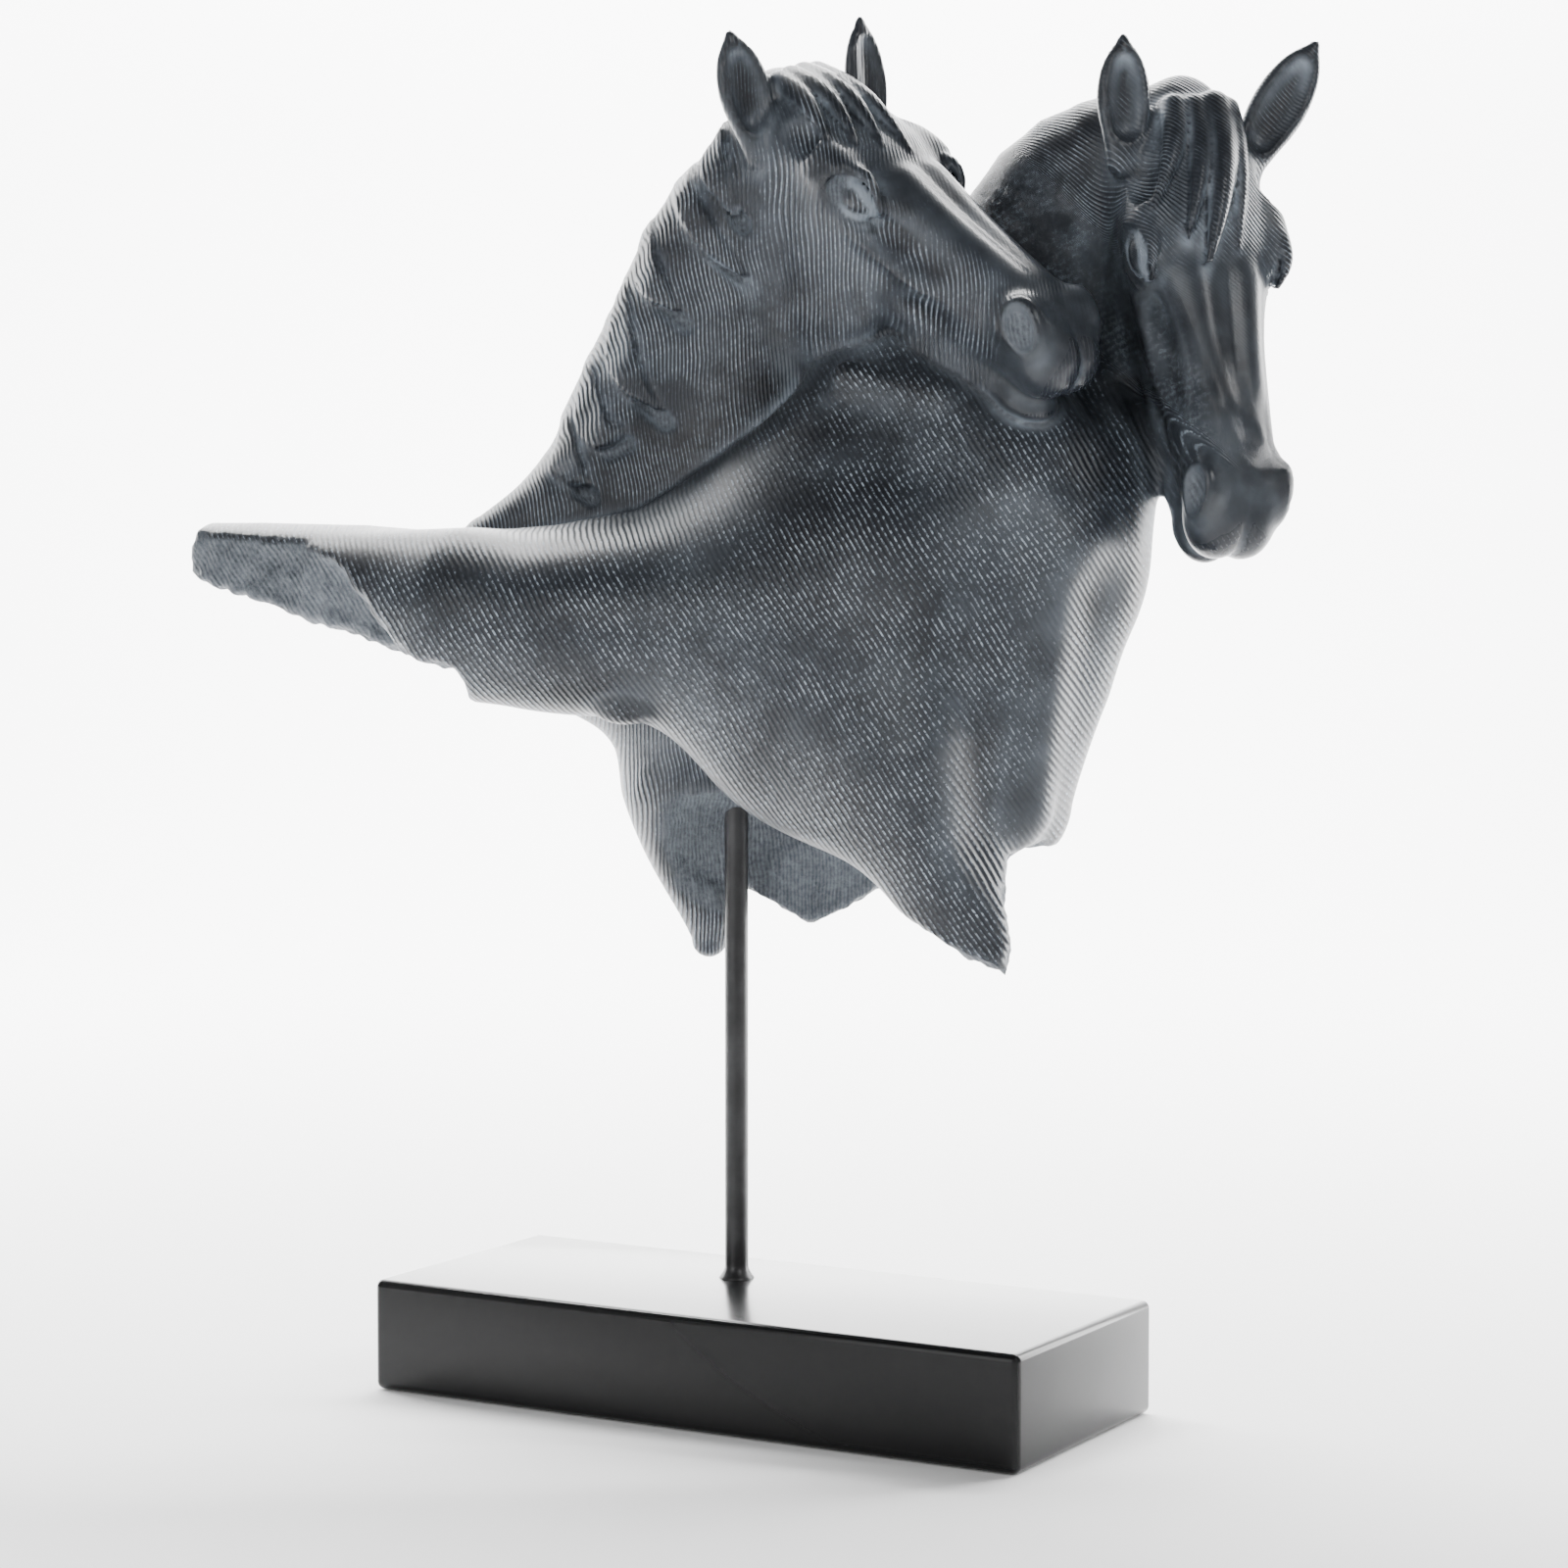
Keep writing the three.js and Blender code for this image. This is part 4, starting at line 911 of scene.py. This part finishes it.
def build_block():
    low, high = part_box("base_block")
    mesh = bpy.data.meshes.new("stand_block")
    obj = bpy.data.objects.new("stand_block", mesh)
    bpy.context.collection.objects.link(obj)
    corners = [(x, y, z) for x in (low.x, high.x) for y in (low.y, high.y) for z in (low.z, high.z)]
    sides = [(0, 1, 3, 2), (4, 6, 7, 5), (0, 4, 5, 1), (2, 3, 7, 6), (0, 2, 6, 4), (1, 5, 7, 3)]
    mesh.from_pydata(corners, [], sides)
    edge = obj.modifiers.new("edge", "BEVEL")
    edge.width = BLOCK_EDGE
    edge.segments = EDGE_SEGMENTS
    whole = bpy.data.meshes.new_from_object(obj.evaluated_get(bpy.context.evaluated_depsgraph_get()))
    obj.modifiers.clear()
    obj.data = whole
    whole.shade_smooth()
    return obj


ROD_SIDES = 48
ROD_RADIUS = 0.004
ROD_RINGS = 90
RING_CROWDING = 1.6
WELD_HEIGHT = 0.004
WELD_BREADTH = 0.0022


def build_rod():
    low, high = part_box("support_rod")
    x, y = (low.x + high.x) / 2, (low.y + high.y) / 2
    top_of_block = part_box("base_block")[1].z
    start, end = top_of_block - WELD_HEIGHT, high.z
    rings = []
    for n in range(ROD_RINGS):
        z = start + (end - start) * (n / (ROD_RINGS - 1)) ** RING_CROWDING
        weld = max(0, 1 - (z - top_of_block) / WELD_HEIGHT) if z > top_of_block else 1
        radius = ROD_RADIUS + WELD_BREADTH * weld ** 1.5
        rings.append([(x + radius * math.cos(a), y + radius * math.sin(a), z)
                      for a in (2 * math.pi * k / ROD_SIDES for k in range(ROD_SIDES))])
    vertices = [v for ring in rings for v in ring]
    faces = [tuple(reversed(range(ROD_SIDES)))]
    for n in range(ROD_RINGS - 1):
        for k in range(ROD_SIDES):
            a, b = n * ROD_SIDES + k, n * ROD_SIDES + (k + 1) % ROD_SIDES
            faces.append((a, b, b + ROD_SIDES, a + ROD_SIDES))
    faces.append(tuple(range((ROD_RINGS - 1) * ROD_SIDES, ROD_RINGS * ROD_SIDES)))
    mesh = bpy.data.meshes.new("stand_rod")
    mesh.from_pydata(vertices, [], faces)
    mesh.shade_smooth()
    obj = bpy.data.objects.new("stand_rod", mesh)
    bpy.context.collection.objects.link(obj)
    return obj


def dress(obj, material, node):
    obj.data.materials.clear()
    obj.data.materials.append(material)
    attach(obj, "root")
    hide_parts(node)


# Studio: camera at the photograph's angle, pale floor with a curved back, soft lights
CAMERA_AZIMUTH = math.radians(29.9)
CAMERA_HEIGHT_ANGLE = math.radians(3.24)
CAMERA_DISTANCE = 1.2181
CAMERA_SIDE = 0.00903
CAMERA_AIM_HEIGHT = 0.2094
CAMERA_LENS = 83.25
SENSOR = 36


def view_axes():
    """Unit vectors from the object to the right in the picture and back to the camera."""
    c, s = math.cos(CAMERA_AZIMUTH), math.sin(CAMERA_AZIMUTH)
    return Vector((c, s, 0)), Vector((s, -c, 0))


def aimed(obj, target):
    way = Vector(target) - obj.location
    obj.rotation_mode = "QUATERNION"
    obj.rotation_quaternion = way.to_track_quat("-Z", "Y")


def build_camera():
    right, back = view_axes()
    target = right * CAMERA_SIDE + Vector((0, 0, CAMERA_AIM_HEIGHT))
    rise = Vector((0, 0, math.sin(CAMERA_HEIGHT_ANGLE)))
    data = bpy.data.cameras.new("camera")
    data.lens = CAMERA_LENS
    data.sensor_width = SENSOR
    camera = bpy.data.objects.new("camera", data)
    camera.location = target + (back * math.cos(CAMERA_HEIGHT_ANGLE) + rise) * CAMERA_DISTANCE
    aimed(camera, target)
    bpy.context.collection.objects.link(camera)
    bpy.context.scene.camera = camera


def softbox(name, side, toward, height, size, power, aim=(0, 0, 0.28)):
    """An area light placed by how far right, how far toward the camera and how high it is."""
    right, back = view_axes()
    data = bpy.data.lights.new(name, "AREA")
    data.shape = "RECTANGLE"
    data.size, data.size_y = size
    data.energy = power
    light = bpy.data.objects.new(name, data)
    light.location = right * side + back * toward + Vector((0, 0, height))
    aimed(light, aim)
    bpy.context.collection.objects.link(light)


FLOOR_REACH = 3.0
BACK_DISTANCE = 2.2
BACK_BEND = 0.7
BACK_HEIGHT = 3.2
BEND_STEPS = 14
FLOOR_GAP = 0.0003


def build_floor():
    """A floor that curves up into a backdrop behind the object."""
    right, back = view_axes()
    line = [(FLOOR_REACH, 0), (0, 0), (-(BACK_DISTANCE - BACK_BEND), 0)]
    for n in range(1, BEND_STEPS + 1):
        a = math.pi / 2 * n / BEND_STEPS
        line.append((-(BACK_DISTANCE - BACK_BEND) - BACK_BEND * math.sin(a),
                     BACK_BEND * (1 - math.cos(a))))
    line.append((-BACK_DISTANCE, BACK_HEIGHT))
    vertices, faces = [], []
    for toward, height in line:
        for side in (-FLOOR_REACH, FLOOR_REACH):
            vertices.append(right * side + back * toward + Vector((0, 0, height - FLOOR_GAP)))
    for n in range(len(line) - 1):
        faces.append((2 * n, 2 * n + 1, 2 * n + 3, 2 * n + 2))
    mesh = bpy.data.meshes.new("floor")
    mesh.from_pydata([tuple(v) for v in vertices], [], faces)
    mesh.shade_smooth()
    floor = bpy.data.objects.new("floor", mesh)
    bpy.context.collection.objects.link(floor)
    n = Nodes("pale_floor")
    mesh.materials.append(n.finish(Base_Color=(0.93, 0.93, 0.93, 1), Roughness=0.75))


def build_sky():
    """White all round at the level of the piece, dim overhead."""
    world = bpy.data.worlds.new("studio")
    world.use_nodes = True
    tree = world.node_tree
    sky = tree.nodes["Background"]
    way = tree.nodes.new("ShaderNodeSeparateXYZ")
    tree.links.new(tree.nodes.new("ShaderNodeTexCoord").outputs["Generated"], way.inputs[0])
    fall = tree.nodes.new("ShaderNodeMapRange")
    for key, value in {"From Min": 0.15, "From Max": 0.75, "To Min": 0.75, "To Max": 0.12}.items():
        fall.inputs[key].default_value = value
    tree.links.new(way.outputs["Z"], fall.inputs["Value"])
    tree.links.new(fall.outputs["Result"], sky.inputs["Strength"])
    sky.inputs["Color"].default_value = (1, 1, 1, 1)
    bpy.context.scene.world = world


def build_studio():
    """Soft lights by name, side, distance toward the camera, height, size and watts."""
    build_sky()
    softbox("top", 0.1, -0.6, 1.5, (1.5, 0.5), 4)
    softbox("left_rim", -1.2, -1.1, 0.55, (0.45, 1.4), 27)
    softbox("right_rim", 1.2, -0.6, 0.5, (0.45, 1.4), 42)
    softbox("front_fill", -1.1, 1.3, 0.6, (0.9, 1.1), 9.5)
    softbox("right_fill", 0.8, 1.3, 1.1, (0.5, 0.5), 7, aim=(0.12, 0.05, 0.36))
    softbox("backdrop_wash", 0, -1.0, 1.9, (2.6, 0.5), 400, aim=(-1.2, 1.9, 0.7))


figure_piece = build_figure()
block_piece = build_block()
rod_piece = build_rod()
dress(figure_piece, resin_material(), "horse_heads")
dress(block_piece, block_material(), "base_block")
dress(rod_piece, rod_material(), "support_rod")
build_camera()
build_floor()
build_studio()
